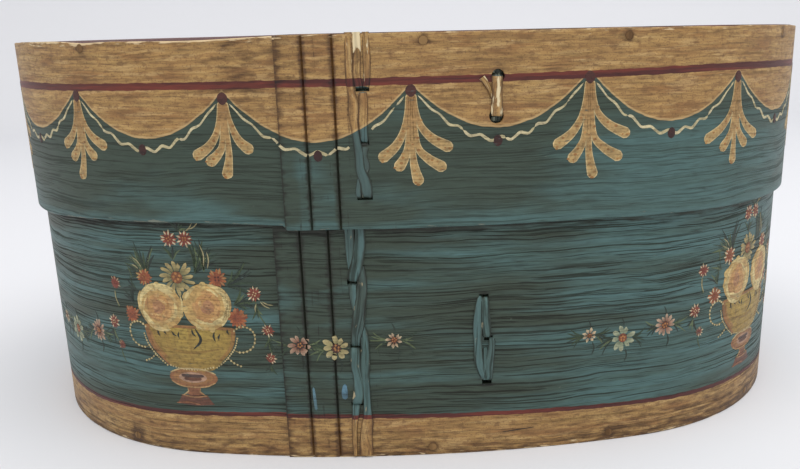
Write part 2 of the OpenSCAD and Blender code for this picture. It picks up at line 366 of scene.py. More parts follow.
def wood_tree():
    """Bends a strip of wood round, with one finish on its face and another where 'bare' is true."""
    finishes = [(label, "NodeSocketMaterial", None) for label in ("Face finish", "Inner finish")]
    tree, face = new_tree("bent wood", "GeometryNodeTree", (*ON_OVAL, *finishes))
    bent = add(tree, "GeometryNodeGroup", at={0: face[0], 1: face[1], 2: face[2]}, node_tree=BEND)
    whole = add(tree, "GeometryNodeRealizeInstances", bent)
    bare = add(tree, NAMED, "bare", data_type="BOOLEAN")
    painted = add(tree, "GeometryNodeSetMaterial", whole, at={"Material": face["Face finish"]})
    both = add(tree, "GeometryNodeSetMaterial", painted, bare, face["Inner finish"])
    add(tree, "NodeGroupOutput", both)
    return tree


def stroke_tree():
    """Sweeps a loaded brush along each line of the drawing and bends the strokes round the oval.

    'reach' is half the brush's width, 'coat' the number of coats under a stroke, and 'around' is kept
    as the UV map by which the paint's wear follows the wood's grain.
    """
    tree, face = new_tree(
        "brush strokes",
        "GeometryNodeTree",
        (
            *ON_OVAL,
            ("Lap end", "NodeSocketFloat", 0.0),
            ("Lap tip", "NodeSocketFloat", LAP_TIP * MM),
            ("Lap fade", "NodeSocketFloat", LAP_FADE * MM),
            ("Crown", "NodeSocketFloat", 0.1 * MM),
            ("Coat thickness", "NodeSocketFloat", 0.04 * MM),
            ("Sunk", "NodeSocketFloat", -0.35 * MM),
            ("Sides", "NodeSocketInt", 10),
            ("Paint", "NodeSocketMaterial", None),
        ),
    )
    reach = add(tree, NAMED, "reach", data_type="FLOAT")
    coat = add(tree, NAMED, "coat", data_type="FLOAT")
    line = add(tree, "GeometryNodeMeshToCurve", face["Geometry"])
    brush = add(tree, "GeometryNodeCurvePrimitiveCircle", face["Sides"], at={"Radius": 1.0})
    swept = add(tree, "GeometryNodeCurveToMesh", line, brush, at={"Scale": reach, "Fill Caps": True})
    flat = add(tree, "ShaderNodeSeparateXYZ", add(tree, "GeometryNodeInputPosition")).node.outputs
    around = add(tree, "ShaderNodeCombineXYZ", flat[0], flat[2])
    mapped = add(
        tree,
        "GeometryNodeStoreNamedAttribute",
        swept,
        at={"Name": "around", "Value": around},
        data_type="FLOAT2",
        domain="CORNER",
    )
    # The brush's round section is pressed flat: its front to the coat's crown, its back into the wood.
    front = add(tree, MATH, flat[1], -3.0, -0.08 * MM, operation="MULTIPLY_ADD")
    capped = add(tree, MATH, front, face["Crown"], operation="MINIMUM")
    sunk = add(tree, MATH, capped, face["Sunk"], operation="MAXIMUM")
    built_up = add(tree, MATH, coat, face["Coat thickness"], sunk, operation="MULTIPLY_ADD")
    along = add(tree, MATH, flat[0], face["Lap end"], operation="SUBTRACT")
    part = add(tree, MATH, along, face["Lap fade"], operation="DIVIDE")
    left = add(tree, MATH, 1.0, part, operation="SUBTRACT", use_clamp=True)
    lift = add(tree, MATH, left, face["Lap tip"], built_up, operation="MULTIPLY_ADD")
    depth = add(tree, MATH, lift, -1.0, operation="MULTIPLY")
    pressed_at = add(tree, "ShaderNodeCombineXYZ", flat[0], depth, flat[2])
    pressed = add(tree, "GeometryNodeSetPosition", mapped, at={"Position": pressed_at})
    bent = add(tree, "GeometryNodeGroup", at={0: pressed, 1: face[1], 2: face[2]}, node_tree=BEND)
    whole = add(tree, "GeometryNodeRealizeInstances", bent)
    add(tree, "NodeGroupOutput", add(tree, "GeometryNodeSetMaterial", whole, at={"Material": face["Paint"]}))
    return tree


def peg_tree():
    """Sets one whittled peg in each hole, turned to face out of the band, each rolled differently."""
    tree, face = new_tree(
        "pegs in their holes",
        "GeometryNodeTree",
        (
            ("Geometry", "NodeSocketGeometry", None),
            ("Peg", "NodeSocketObject", None),
            ("Roll", "NodeSocketFloat", math.pi),
            ("Seed", "NodeSocketInt", 4),
            ("Wood", "NodeSocketMaterial", None),
        ),
    )
    peg = add(tree, "GeometryNodeObjectInfo", face["Peg"], out="Geometry")
    facing = add(tree, NAMED, "facing", data_type="FLOAT")
    any_turn = {"Max": face["Roll"], "Seed": face["Seed"]}
    roll = add(tree, "FunctionNodeRandomValue", at=any_turn, out="Value", data_type="FLOAT")
    axes = add(tree, "ShaderNodeCombineXYZ", at={0: roll, 2: facing})
    turn = add(tree, "FunctionNodeEulerToRotation", axes)
    each = {"Instance": peg, "Rotation": turn}
    set_in = add(tree, "GeometryNodeInstanceOnPoints", face["Geometry"], at=each)
    whole = add(tree, "GeometryNodeRealizeInstances", set_in)
    add(tree, "NodeGroupOutput", add(tree, "GeometryNodeSetMaterial", whole, at={"Material": face["Wood"]}))
    return tree


# --- Finishes -----------------------------------------------------------------------------------


def linear(hex_colour):
    """Linear colour of an sRGB hex value."""
    parts = [int(hex_colour[i : i + 2], 16) / 255 for i in (1, 3, 5)]
    return tuple(c / 12.92 if c <= 0.04045 else ((c + 0.055) / 1.055) ** 2.4 for c in parts) + (1.0,)


def aged_wood_group():
    """Shader group: what age does to a coat of paint, or to bare wood, along the grain.

    Grain is (along, across) in metres. The soft early wood has sunk between the rings and opened in fine
    checks, so the coat over it has broken into thin dark lines, 0.3 to 0.6 mm wide, that come in clusters.
    The grime input darkens the coat with what has settled on it and, on the bands, with painted shade. Rubbed
    shows the layer under it.
    """
    tree, face = new_tree(
        "age on wood",
        "ShaderNodeTree",
        (
            ("Colour", "NodeSocketColor", None),
            ("Grain", "NodeSocketVector", None),
            ("Streaks", "NodeSocketFloat", 0.5),
            ("Grime", "NodeSocketFloat", 0.0),
            ("Rubbed", "NodeSocketFloat", 0.0),
            ("Under", "NodeSocketColor", linear("#74776A")),
        ),
        (("Colour", "NodeSocketColor"), ("Roughness", "NodeSocketFloat"), ("Normal", "NodeSocketVector")),
    )
    # The grain wanders up and down by a few mm over 80 mm of length.
    slow = add(tree, VECTOR, face["Grain"], (12, 30, 0), operation="MULTIPLY")
    bends = add(tree, NOISE, slow, at={"Scale": 1.0, "Detail": 3.0}, out=1, noise_dimensions="2D")
    grain = add(tree, VECTOR, bends, (0, 0.007, 0), face["Grain"], operation="MULTIPLY_ADD")
    # Each noise has so many features a metre along the grain and across it, and its detail.
    noise = {
        key: add(
            tree,
            NOISE,
            add(tree, VECTOR, grain, (along, across, 0), operation="MULTIPLY"),
            at={"Scale": 1.0, "Detail": detail},
            noise_dimensions="2D",
        )
        for key, along, across, detail in (
            ("cluster", 5, 75, 3.0),
            ("split", 7, 800, 4.0),
            ("check", 19, 1100, 4.0),
            ("fine check", 32, 1900, 3.0),
            ("fibre", 90, 1000, 3.0),
            ("patch", 10, 300, 5.0),
            ("grime", 90, 420, 4.0),
            ("rub", 120, 700, 4.0),
        )
    }
    step = {
        key: add(tree, RANGE, source, low, high, interpolation_type="SMOOTHSTEP")
        for key, source, low, high in (
            ("cluster", noise["cluster"], 0.4, 0.56),
            ("split", noise["split"], 0.62, 0.65),
            ("check", noise["check"], 0.58, 0.615),
            ("fine check", noise["fine check"], 0.55, 0.64),
            ("patch", noise["patch"], 0.42, 0.62),
        )
    }
    check_lines = add(tree, MATH, step["check"], step["cluster"], operation="MULTIPLY")
    fine_lines = add(tree, MATH, step["fine check"], step["patch"], operation="MULTIPLY")
    faint_lines = add(tree, MATH, fine_lines, 0.6, operation="MULTIPLY")
    both = add(tree, MATH, step["split"], check_lines, operation="MAXIMUM")
    lines = add(tree, MATH, both, faint_lines, operation="MAXIMUM")
    streaks = add(tree, MATH, lines, face["Streaks"], operation="MULTIPLY", use_clamp=True)
    # The grime with any painted shade, and the rubbing, come in patches: the noise spreads each of the two
    # values by 0.8 either way.
    spread = {
        key: add(tree, MATH, add(tree, MATH, noise[key], 1.6, -0.8, operation="MULTIPLY_ADD"), face[label])
        for key, label in (("grime", "Grime"), ("rub", "Rubbed"))
    }
    grime = add(tree, RANGE, spread["grime"], 0.1, 0.9, interpolation_type="SMOOTHSTEP")
    rub = add(tree, RANGE, spread["rub"], 0.42, 0.6, interpolation_type="SMOOTHSTEP")
    # From the coat's own colour: fibre, dull patches, grime with any painted shade, dark lines, and the layer
    # under the coat.
    tone = add(tree, RANGE, noise["fibre"], 0.3, 0.7, 0.84, 1.16)
    fibred = add(tree, VECTOR, face["Colour"], at={"Scale": tone}, operation="SCALE")
    dull = add(tree, VECTOR, fibred, (0.76, 0.7, 0.56), operation="MULTIPLY")
    soil = add(tree, MATH, step["patch"], face["Streaks"], operation="MULTIPLY")
    half_soil = add(tree, MATH, soil, 0.5, operation="MULTIPLY")
    soiled = add(tree, MIX, half_soil, at={6: fibred, 7: dull}, out=2, data_type="RGBA")
    black = add(tree, VECTOR, soiled, (0.30, 0.24, 0.17), operation="MULTIPLY")
    grimed_and_shaded = add(tree, MIX, grime, at={6: soiled, 7: black}, out=2, data_type="RGBA")
    dark = add(tree, VECTOR, grimed_and_shaded, (0.24, 0.2, 0.14), operation="MULTIPLY")
    lined = add(tree, MIX, streaks, at={6: grimed_and_shaded, 7: dark}, out=2, data_type="RGBA")
    under = add(tree, VECTOR, face["Under"], at={"Scale": tone}, operation="SCALE")
    worn = add(tree, MIX, rub, at={6: lined, 7: under}, out=2, data_type="RGBA")
    roughness = add(tree, RANGE, streaks, at={3: 0.48, 4: 0.8})
    rise = add(tree, MATH, noise["fibre"], 0.3, 1.0, operation="MULTIPLY_ADD")
    sunk = add(tree, MATH, rise, add(tree, MATH, streaks, rub, operation="MAXIMUM"), operation="SUBTRACT")
    relief = add(tree, "ShaderNodeBump", at={"Strength": 1.0, "Distance": 0.2 * MM, "Height": sunk})
    add(tree, "NodeGroupOutput", worn, roughness, relief)
    return tree


AGE = aged_wood_group()


def finish(name, under, specular=0.45):
    """A material with the age group between its colour and the shader. Returns it, its tree and the group."""
    material = bpy.data.materials.new(name)
    material.use_nodes = True
    tree = material.node_tree
    tree.nodes.clear()
    age = add(tree, "ShaderNodeGroup", node_tree=AGE).node
    age.inputs["Under"].default_value = linear(under)
    surface = {"Base Color": age.outputs[0], "Roughness": age.outputs[1], "Normal": age.outputs[2]}
    surface["Specular IOR Level"] = specular
    add(tree, "ShaderNodeOutputMaterial", add(tree, "ShaderNodeBsdfPrincipled", at=surface))
    return material, tree, age.inputs


def band_paint(name, line_w, streaks, tone, blues, bare="#6E7468", bare_cream="#CBB28A"):
    """Linseed oil paint, brushed on by hand: blue, cream and a dark red line.

    It has gone satin with handling, and the lines between the colours waver by a third of a mm. 'blues'
    are its clean blue and the olive to which it has yellowed, and 'tone' is how that runs: patches a metre
    along the grain and across it, and how strong they are. 'bare' shows where the blue is rubbed, and
    'bare_cream' where the cream is.
    """
    material, tree, age = finish(name, bare)
    grain = add(tree, "ShaderNodeUVMap", uv_map="around")
    tree.links.new(grain, age["Grain"])
    value = {
        key: add(tree, "ShaderNodeAttribute", out="Fac", attribute_name=key)
        for key in ("cream", "line", "grime", "dirt", "scraped", "rub")
    }
    noise = {
        key: add(
            tree,
            NOISE,
            add(tree, VECTOR, grain, (along, across, 0), operation="MULTIPLY"),
            at={"Scale": 1.0, "Detail": detail},
            noise_dimensions="2D",
        )
        for key, along, across, detail in (
            ("hand", 150, 150, 2.0),
            ("tone", *tone[:2], 4.0),
            ("brown", 34, 170, 4.0),
            ("grain", 42, 380, 4.0),
            ("mottle", 230, 400, 3.0),
            ("pale", 24, 90, 4.0),
            ("dash", 120, 1300, 3.0),
            ("speck", 1100, 1300, 2.0),
            ("red", 11, 330, 3.0),
            ("scratch", 640, 26, 4.0),
            ("scratch part", 60, 30, 3.0),
        )
    }
    waver = add(tree, MATH, noise["hand"], 1.0 * MM, -0.5 * MM, operation="MULTIPLY_ADD")
    cream_in = add(tree, MATH, value["cream"], waver)
    line_off = add(tree, MATH, add(tree, MATH, value["line"], waver), operation="ABSOLUTE")
    turned = add(tree, MATH, add(tree, MATH, cream_in, 0.5 * MM, operation="SUBTRACT"), operation="ABSOLUTE")
    uneven = add(tree, MATH, noise["tone"], tone[2], -tone[2] / 2, operation="MULTIPLY_ADD")
    yellowed = add(tree, MATH, uneven, value["grime"])
    step = {
        key: add(tree, RANGE, source, low, high, 0.0, most, interpolation_type="SMOOTHSTEP")
        for key, source, low, high, most in (
            ("yellowed", yellowed, -0.35, 0.65, 1.0),
            ("brown", noise["brown"], 0.46, 0.72, 0.7),
            ("dark grain", noise["grain"], 0.52, 0.68, 0.42),
            ("pale grain", noise["grain"], 0.47, 0.34, 0.45),
            ("mottle", noise["mottle"], 0.5, 0.68, 0.6),
            ("pale", noise["pale"], 0.45, 0.7, 0.7),
            ("dash", noise["dash"], 0.6, 0.72, 0.6),
            ("speck", noise["speck"], 0.6, 0.7, 0.6),
            ("edge", turned, 0.9 * MM, 0.2 * MM, 0.75),
            ("red", noise["red"], 0.4, 0.65, 1.0),
            ("cream", cream_in, -0.15 * MM, 0.15 * MM, 1.0),
            ("line", line_off, (line_w / 2 + 0.15) * MM, (line_w / 2 - 0.15) * MM, 1.0),
            ("scratch", noise["scratch"], 0.56, 0.72, 0.7),
            ("scratch part", noise["scratch part"], 0.4, 0.6, 1.0),
        )
    }
    flecks = add(tree, MATH, step["dash"], step["speck"], operation="MAXIMUM")
    colour = linear("#A37F4B")
    for amount, over in (
        (step["pale"], "#B39159"),
        (step["brown"], "#885E34"),
        (step["pale grain"], "#C2A26E"),
        (step["dark grain"], "#70502E"),
        (step["mottle"], "#7C5A34"),
        (flecks, "#66452A"),
        (step["edge"], "#BB9D6D"),
    ):
        colour = add(tree, MIX, amount, at={6: colour, 7: linear(over)}, out=2, data_type="RGBA")
    pair = {
        key: add(tree, MIX, step[by], at={6: linear(one), 7: linear(other)}, out=2, data_type="RGBA")
        for key, by, one, other in (
            ("blue", "yellowed", *blues),
            ("red", "red", "#4A1915", "#67281C"),
            ("under", "cream", bare, bare_cream),
        )
    }
    ground = add(tree, MIX, step["cream"], at={6: pair["blue"], 7: colour}, out=2, data_type="RGBA")
    painted = add(tree, MIX, step["line"], at={6: ground, 7: pair["red"]}, out=2, data_type="RGBA")
    tree.links.new(painted, age["Colour"])
    lines = add(tree, MATH, step["cream"], -0.5 * streaks, streaks, operation="MULTIPLY_ADD")
    kept = add(tree, MATH, value["scraped"], -0.35, 1.0, operation="MULTIPLY_ADD")
    tree.links.new(add(tree, MATH, lines, kept, operation="MULTIPLY"), age["Streaks"])
    # The lap has been scraped across the grain: dark scratches, 0.5 mm wide, run up and down it.
    broken = add(tree, MATH, step["scratch"], step["scratch part"], operation="MULTIPLY")
    scraped = add(tree, MATH, broken, value["scraped"], operation="MULTIPLY")
    # The coat's grime takes the scratches, and the dirt together with the painted shade
    tree.links.new(add(tree, MATH, scraped, value["dirt"], operation="MAXIMUM"), age["Grime"])
    tree.links.new(value["rub"], age["Rubbed"])
    tree.links.new(pair["under"], age["Under"])
    return material


def flower_paint():
    """Oil colours brushed over the blue, flecked, and thin enough for the wood's lines to show through."""
    material, tree, age = finish("brushed oil colours", "#4C5C58")
    grain = add(tree, "ShaderNodeUVMap", uv_map="around")
    tree.links.new(grain, age["Grain"])
    pigment = add(tree, "ShaderNodeAttribute", out="Color", attribute_name="pigment")
    small = add(tree, VECTOR, grain, (560, 640, 0), operation="MULTIPLY")
    broad = add(tree, VECTOR, grain, (240, 300, 0), operation="MULTIPLY")
    speck = add(tree, NOISE, small, at={"Scale": 1.0, "Detail": 3.0}, noise_dimensions="2D")
    load = add(tree, NOISE, broad, at={"Scale": 1.0, "Detail": 2.0}, noise_dimensions="2D")
    fleck = add(tree, RANGE, speck, 0.52, 0.68, 1.0, 0.7)
    body = add(tree, RANGE, load, 0.3, 0.7, 0.85, 1.15)
    shade_of = add(tree, MATH, fleck, body, operation="MULTIPLY")
    tree.links.new(add(tree, VECTOR, pigment, at={"Scale": shade_of}, operation="SCALE"), age["Colour"])
    age["Streaks"].default_value = 0.26
    age["Rubbed"].default_value = 0.1
    return material


def wood_finish(name, colours, streaks, uv_map=None):
    """Wood with rings of two colours: bare pine, or one coat of paint rubbed along the grain."""
    material, tree, age = finish(name, colours[1], 0.25)
    if uv_map:
        grain = add(tree, "ShaderNodeUVMap", uv_map=uv_map)
    else:
        grain = add(tree, "ShaderNodeTexCoord", out="Object")
    tree.links.new(grain, age["Grain"])
    drawn_out = add(tree, VECTOR, grain, (6, 70, 0), operation="MULTIPLY")
    tone = add(tree, NOISE, drawn_out, at={"Scale": 1.0, "Detail": 3.0}, noise_dimensions="2D")
    step = add(tree, RANGE, tone, 0.35, 0.65)
    mixed = add(tree, MIX, step, at={6: linear(colours[0]), 7: linear(colours[1])}, out=2, data_type="RGBA")
    tree.links.new(mixed, age["Colour"])
    age["Streaks"].default_value = streaks
    return material


BODY_BLUES, LID_BLUES = ("#456463", "#324034"), ("#43605E", "#334237")
BODY_PAINT = band_paint("blue linseed paint, body", BODY_LINE_W, 0.9, (8, 80, 2.5), BODY_BLUES)
LID_PAINT = band_paint("blue linseed paint, lid", LID_LINE_W, 0.5, (13, 42, 2.4), LID_BLUES)
# The roots were sewn before painting: paint lies over split spruce root, thin on its crowns.
ROOT_TONE = (8, 90, 3.4)
BODY_ROOT_BLUES, LID_ROOT_BLUES = ("#486463", "#3B4B45"), ("#46605F", "#394843")
BODY_ROOT = band_paint("painted split root, body", BODY_LINE_W, 0.7, ROOT_TONE, BODY_ROOT_BLUES, "#A89B7C")
LID_ROOT = band_paint(
    "painted split root, lid", LID_LINE_W, 0.7, ROOT_TONE, LID_ROOT_BLUES, "#7E8474", "#D2C09A"
)
FLOWER_PAINT = flower_paint()
# Pine left bare inside, gone brown with age: matt, with close dark rings.
BARE_PINE = wood_finish("bare old pine", ("#A98559", "#8C6A43"), 0.35, "around")
BOARD_PINE = wood_finish("bare old pine board", ("#A98559", "#8C6A43"), 0.35)
# The lid's board has one coat of dark red, dulled and streaked along the planks.
RED_BOARD = wood_finish("dark red linseed paint", ("#633330", "#50302A"), 0.6)
# Pegs are whittled juniper with the band's cream over their heads, rubbed by handling.
PEG_WOOD = wood_finish("whittled juniper", ("#9C7C50", "#725434"), 0.4)


# --- Shapes -------------------------------------------------------------------------------------


def new_object(name, points, faces=(), edges=()):
    """A mesh object from places in mm."""
    mesh = bpy.data.meshes.new(name)
    mesh.from_pydata((np.asarray(points, float) * MM).tolist(), edges, faces)
    return put(name, mesh)


def ring_faces(n, m):
    """Four-sided faces between n rings of m points each."""
    sides = [(j, (j + 1) % m) for j in range(m)]
    return [(i + a, i + b, i + m + b, i + m + a) for i in range(0, (n - 1) * m, m) for a, b in sides]


def loft(name, sections):
    """Closed solid through sections, each a closed ring of as many points."""
    n, m = sections.shape[:2]
    faces = ring_faces(n, m) + [tuple(range(m)), tuple(range((n - 1) * m, n * m))]
    obj = new_object(name, sections.reshape(-1, 3), faces)
    face_out(obj)
    return obj


def face_out(obj, weld=False):
    """Turns a closed mesh's faces outwards. 'weld' first joins its points that lie in one place."""
    bm = bmesh.new()
    bm.from_mesh(obj.data)
    if weld:
        bmesh.ops.remove_doubles(bm, verts=bm.verts, dist=1e-6)
    bmesh.ops.recalc_face_normals(bm, faces=bm.faces)
    bm.to_mesh(obj.data)
    bm.free()


def shade(obj, angle=35):
    """Smooth faces, with sharp edges past an angle."""
    obj.data.shade_smooth()
    obj.data.set_sharp_from_angle(angle=math.radians(angle))
    return obj


def oval_line(band):
    """The band's oval as a curve for the bending tree, in metres."""
    count = int(band.round)
    curve = bpy.data.curves.new(band.name + " oval", "CURVE")
    curve.dimensions = "3D"
    line = curve.splines.new("POLY")
    line.points.add(count - 1)
    for k, point in enumerate(line.points):
        x, y, _ = oval_point(k / count * band.round, band.out)
        point.co = (x * MM, y * MM, 0, 1)
    line.use_cyclic_u = True
    return put(band.name + "_oval", curve)


def on_oval(band):
    """What a tree needs, to bend a flat shape round a band's oval."""
    return {"Oval": OVALS[band.name], "Length": band.round * MM}


def bend(obj, band, face_finish, inner_finish=None):
    """Bends a flat object round the oval and gives it its finishes."""
    finishes = {"Face finish": face_finish, "Inner finish": inner_finish or face_finish}
    return grow(obj, WOOD_TREE, {**on_oval(band), **finishes})


def strip_sections(band, high_edge, low_edge, step=2.2, row=2.4):
    """Sections along a band's flat strip. A section runs up the face, over the rim and down the back."""
    length = band.round + LAP_LEN
    u = list(np.arange(0, length, step)) + [length]
    u += [0.35, 0.9] + [d + k * SCRIBE_W / 4 for d in SCRIBED_AT for k in (-2, -1, 0, 1, 2)]
    u = np.unique(np.round(u, 3))[:, None]
    s = band.lap_end + u
    outer, inner = band.outer(u), band.inner(u)
    corner = np.minimum(RIM_ROUND, 0.45 * (outer - inner))
    top, foot = high_edge(s), low_edge(s)
    rows = np.linspace(0, 1, int((band.high - band.low) / row))[None]
    back = np.linspace(1, 0, 8)[None]
    arc = np.radians((22.5, 45, 67.5, 90))[None]
    up = foot + corner + (top - foot - 2 * corner) * rows
    down = foot + corner + (top - foot - 2 * corner) * back
    # The hand-planed face is uneven by some hundredths of a mm, and the lines are scribed into the lap.
    uneven = waves(s, up, 55, 0.04, 11) + waves(s, up * 3, 9, 0.01, 12)
    scribed = sum(SCRIBE_DEPTH * np.maximum(0, 1 - np.abs(u - d) / (SCRIBE_W / 2)) for d in SCRIBED_AT)
    inward, short = corner * (1 - np.cos(arc)), corner * (1 - np.sin(arc))
    lift = np.hstack(
        [
            outer + uneven - scribed,
            outer - inward - scribed * 0.5,
            inner + inward[:, ::-1],
            inner + 0 * back,
            inner + inward,
            outer - inward[:, ::-1] - scribed * 0.5,
        ]
    )
    z = np.hstack([up, top - short, top - short[:, ::-1], down, foot + short, foot + short[:, ::-1]])
    return np.dstack([s + 0 * z, -lift, z])


def cut(obj, boxes, rounds):
    """Cuts boxes (low corner, high corner) and round holes (place, height, diameter) out of a flat strip."""
    bm = bmesh.new()
    for low, high in boxes:
        middle, size = (Vector(low) + Vector(high)) / 2 * MM, (Vector(high) - Vector(low)) * MM
        bmesh.ops.create_cube(bm, size=1, matrix=Matrix.Translation(middle) @ Matrix.Diagonal((*size, 1)))
    for s, z, diameter in rounds:
        bmesh.ops.create_cone(
            bm,
            cap_ends=True,
            segments=20,
            radius1=diameter / 2 * MM,
            radius2=diameter / 2 * MM,
            depth=14 * MM,
            matrix=Matrix.Translation(Vector((s, 0, z)) * MM) @ Matrix.Rotation(math.pi / 2, 4, "X"),
        )
    mesh = bpy.data.meshes.new("cutters")
    bm.to_mesh(mesh)
    bm.free()
    tools = put("cutters", mesh)
    boolean = obj.modifiers.new("slots", "BOOLEAN")
    boolean.object, boolean.solver = tools, "EXACT"
    done = settle(obj)
    bpy.data.objects.remove(tools)
    return done


def read(items, key, width=1, kind=float):
    """A value of a mesh's vertices, corners or faces, a row for each."""
    values = np.zeros(len(items) * width, kind)
    items.foreach_get(key, values)
    return values.reshape(-1, width)


def flat_places(obj):
    """The vertices' flat places (s, lift, z), in mm."""
    co = read(obj.data.vertices, "co", 3) / MM
    return co[:, 0], -co[:, 1], co[:, 2]


def set_values(obj, name, values, domain="POINT", kind="FLOAT"):
    """Stores one value for each vertex or face."""
    attribute = obj.data.attributes.new(name, kind, domain)
    attribute.data.foreach_set("value", np.asarray(values))


def set_map(obj, name, u, v):
    """A UV map from values for each face corner."""
    layer = obj.data.uv_layers.new(name=name)
    layer.uv.foreach_set("vector", np.column_stack([u, v]).ravel())


def corner_values(obj):
    """For each face corner: its vertex, and the face it belongs to."""
    vertex = read(obj.data.loops, "vertex_index", kind=int)[:, 0]
    totals = read(obj.data.polygons, "loop_total", kind=int)[:, 0]
    return vertex, np.repeat(np.arange(len(totals)), totals)


def dress_strip(obj, band, high_edge, low_edge, holes):
    """Gives a flat strip its paint heights, rubbed places, dirt and painted shade, bare back and UV maps."""
    s, lift, z = flat_places(obj)
    cream, line = paint_heights(band, s, z)
    set_values(obj, "cream", cream)
    set_values(obj, "line", line)
    u = s - band.lap_end
    top, foot = high_edge(s), low_edge(s)
    near = band.near(s)
    # Rubbed by hands: along the rim and the foot, and most at the lid's left.
    rub = np.interp(top - z, (0, 0.9, 2.5), (0.62, 0.4, 0.0))
    handled = 1.0
    if band is LID:
        rub = rub * np.interp(near, (-230, -200, -70, -50), (0.5, 1.15, 1.15, 0.5))
        handled = np.interp(near, (-300, -220, -70, -20, 300), (0.5, 1.1, 1.0, 0.5, 0.4))
    rub = np.maximum(rub, handled * np.interp(z - foot, (0, 0.7, 1.8), (0.5, 0.3, 0.0)))
    set_values(obj, "rub", rub)
    # Dirt has settled in the scribed lines and along the lap's end.
    dirt = 1.3 * sum(np.interp(np.abs(u - d), (0.35, 0.75, 2.5), (1, 0.35, 0)) for d in SCRIBED_AT)
    dirt = dirt + np.interp(np.abs(u), (0, 0.8, 3.5), (1.2, 0.5, 0))
    if band is BODY:
        # Painted shadow just under the lid's foot; dirt up the lap; darker towards the foot; dirt on the
        # cream at the right
        dirt = dirt + np.interp(lid_foot(s) - z, (-5, -1.5, 1.7, 2.4, 5), (0, 0.9, 0.9, 0.4, 0))
        dirt = dirt + np.interp(u, (-1, 0, 30, 36), (0, 0.16, 0.16, 0)) * np.interp(z, (50, 80), (0, 1))
        dirt = dirt + np.interp(z, (0, 3, 9, 22), (0.5, 0.3, 0.12, 0))
        cream_dirt = np.interp(near, (-300, -150, -60, 60, 150, 300), (0.1, 0.16, 0.1, 0.05, 0.3, 0.3))
        dirt = dirt + np.interp(z, (16, 21), (1, 0)) * cream_dirt
    else:
        # High on the lid, in a stain at the left and between the scribed lines
        stain = 0.42 * np.exp(-(((near + 82) / 15) ** 2)) + np.interp(u, (-1, 0, 27, 30), (0, 0.22, 0.22, 0))
        dirt = dirt + stain * np.interp(z, (176, 190), (0, 1))
    # Dirt round each hole, which also darkens the hole's walls as painted shade
    for hole_s, hole_z, share in holes:
        dirt = dirt + share * np.exp(-((near - hole_s) ** 2 + (z - hole_z) ** 2) / 12)
    set_values(obj, "dirt", dirt)
    set_values(obj, "scraped", np.interp(u, (-2, 0, 34, 52, 60), (0, 0.9, 0.8, 0.5, 0)))
    set_values(obj, "grime", band_grime(band, s, z))
    bare = read(obj.data.polygons, "normal", 3)[:, 1] > 0.35
    set_values(obj, "bare", bare, "FACE", "BOOLEAN")
    vertex, face = corner_values(obj)
    set_map(obj, "around", s[vertex] * MM, z[vertex] * MM)
    # The bake's map: the face in rows, the back in one small row, rims unrolled past the edges.
    length, height = band.round + LAP_LEN, band.high - band.low
    side_gap, row_gap, edge = 3, 4, 1.5
    rows = max(2, round(math.sqrt(length / (1.25 * height))))
    row_l, row_h = length / rows, height + 2 * row_gap
    scale = 1 / max(row_l + 2 * side_gap, row_h * (rows + 1 / rows) + row_gap)
    past = np.where(z > top - edge, 1, np.where(z < foot + edge, -1, 0))
    v_face = z - band.low + row_gap + past * (band.outer(u) - lift)
    v_back = z - band.low + row_gap + past * (lift - band.inner(u))
    middle = read(obj.data.polygons, "center", 3)[:, 0] / MM
    row = np.minimum(((middle - band.lap_end) / row_l).astype(int), rows - 1)[face]
    on_back = bare[face]
    bake_u = np.where(on_back, u[vertex] / rows, u[vertex] - row * row_l) + side_gap
    bake_v = np.where(on_back, rows * row_h + v_back[vertex] / rows, row * row_h + v_face[vertex])
    set_map(obj, "OFBake", bake_u * scale, bake_v * scale)


def make_band(name, node, band, high_edge, low_edge, slots, round_slots, peg_z, paint):
    """A bent band with its slots and peg holes. A hole in the lap goes through both of its layers."""
    obj = loft(name, strip_sections(band, high_edge, low_edge))
    boxes = []
    for s, top, width in slots:
        for at in (s, s + band.round):
            # From 3 mm out of the face to 9 mm behind it, right through the band
            boxes.append(((at - width / 2, -3, top - SLOT_H), (at + width / 2, 9, top)))
    first = band.lap_end
    pegs = [((turn * band.round - first) % band.round + first, peg_z, PEG_D) for turn in PEG_TURNS]
    rounds = [(s + layer, z, wide) for s, z, wide in [*round_slots, *pegs] for layer in (0, band.round)]
    # Dirt round the holes, which also darkens the slots' walls as painted shade, and more dirt round the pegs
    holes = [(s, top - SLOT_H / 2, 0.8) for s, top, _ in slots] + [(s, z, 0.8) for s, z, _ in round_slots]
    holes += [(band.near(s), z, 0.95) for s, z, _ in pegs]
    obj = cut(obj, boxes, rounds)
    dress_strip(obj, band, high_edge, low_edge, holes)
    piece = shade(bend(obj, band, paint, BARE_PINE))
    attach(piece, "box" if band is BODY else "lid")
    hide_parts(node)


# --- Making -------------------------------------------------------------------------------------

OVALS = {band.name: oval_line(band) for band in BANDS}
WOOD_TREE, STROKE_TREE, PEG_TREE = wood_tree(), stroke_tree(), peg_tree()

# Slots for the root: (place, height of the upper edge, width), and round ones (place, height, diameter)
BODY_SLOTS = [(-33.6, 97.5, 6.4), (-33.8, 63.5, 6.0), (-34.6, 32.0, 6.4), (-32, 130, 5.6), (-32, 163, 5.6)]
BODY_SLOTS += [(31.2, 87.5, 5.0), (33.5, 65.3, 4.6), (32.5, 41.5, 5.0)]
LID_SLOTS = [(-24.8, 191.5, 6.4), (-25.4, 166.8, 5.4), (-25.8, 140.6, 7.4)]
LID_ROUND_SLOTS = [(38.2, 194.4, 6.2), (37.4, 176.0, 7.0)]

BODY_PEG_Z, LID_PEG_Z = BASE_BOARD_T / 2, (LID_TOP + LID_BOARD_LOW) / 2


def body_rim(s):
    """Height of the body's rim."""
    return BODY_TOP + 0 * s


def body_foot(s):
    """Height of the body's foot, on which the box stands."""
    return 0 * s


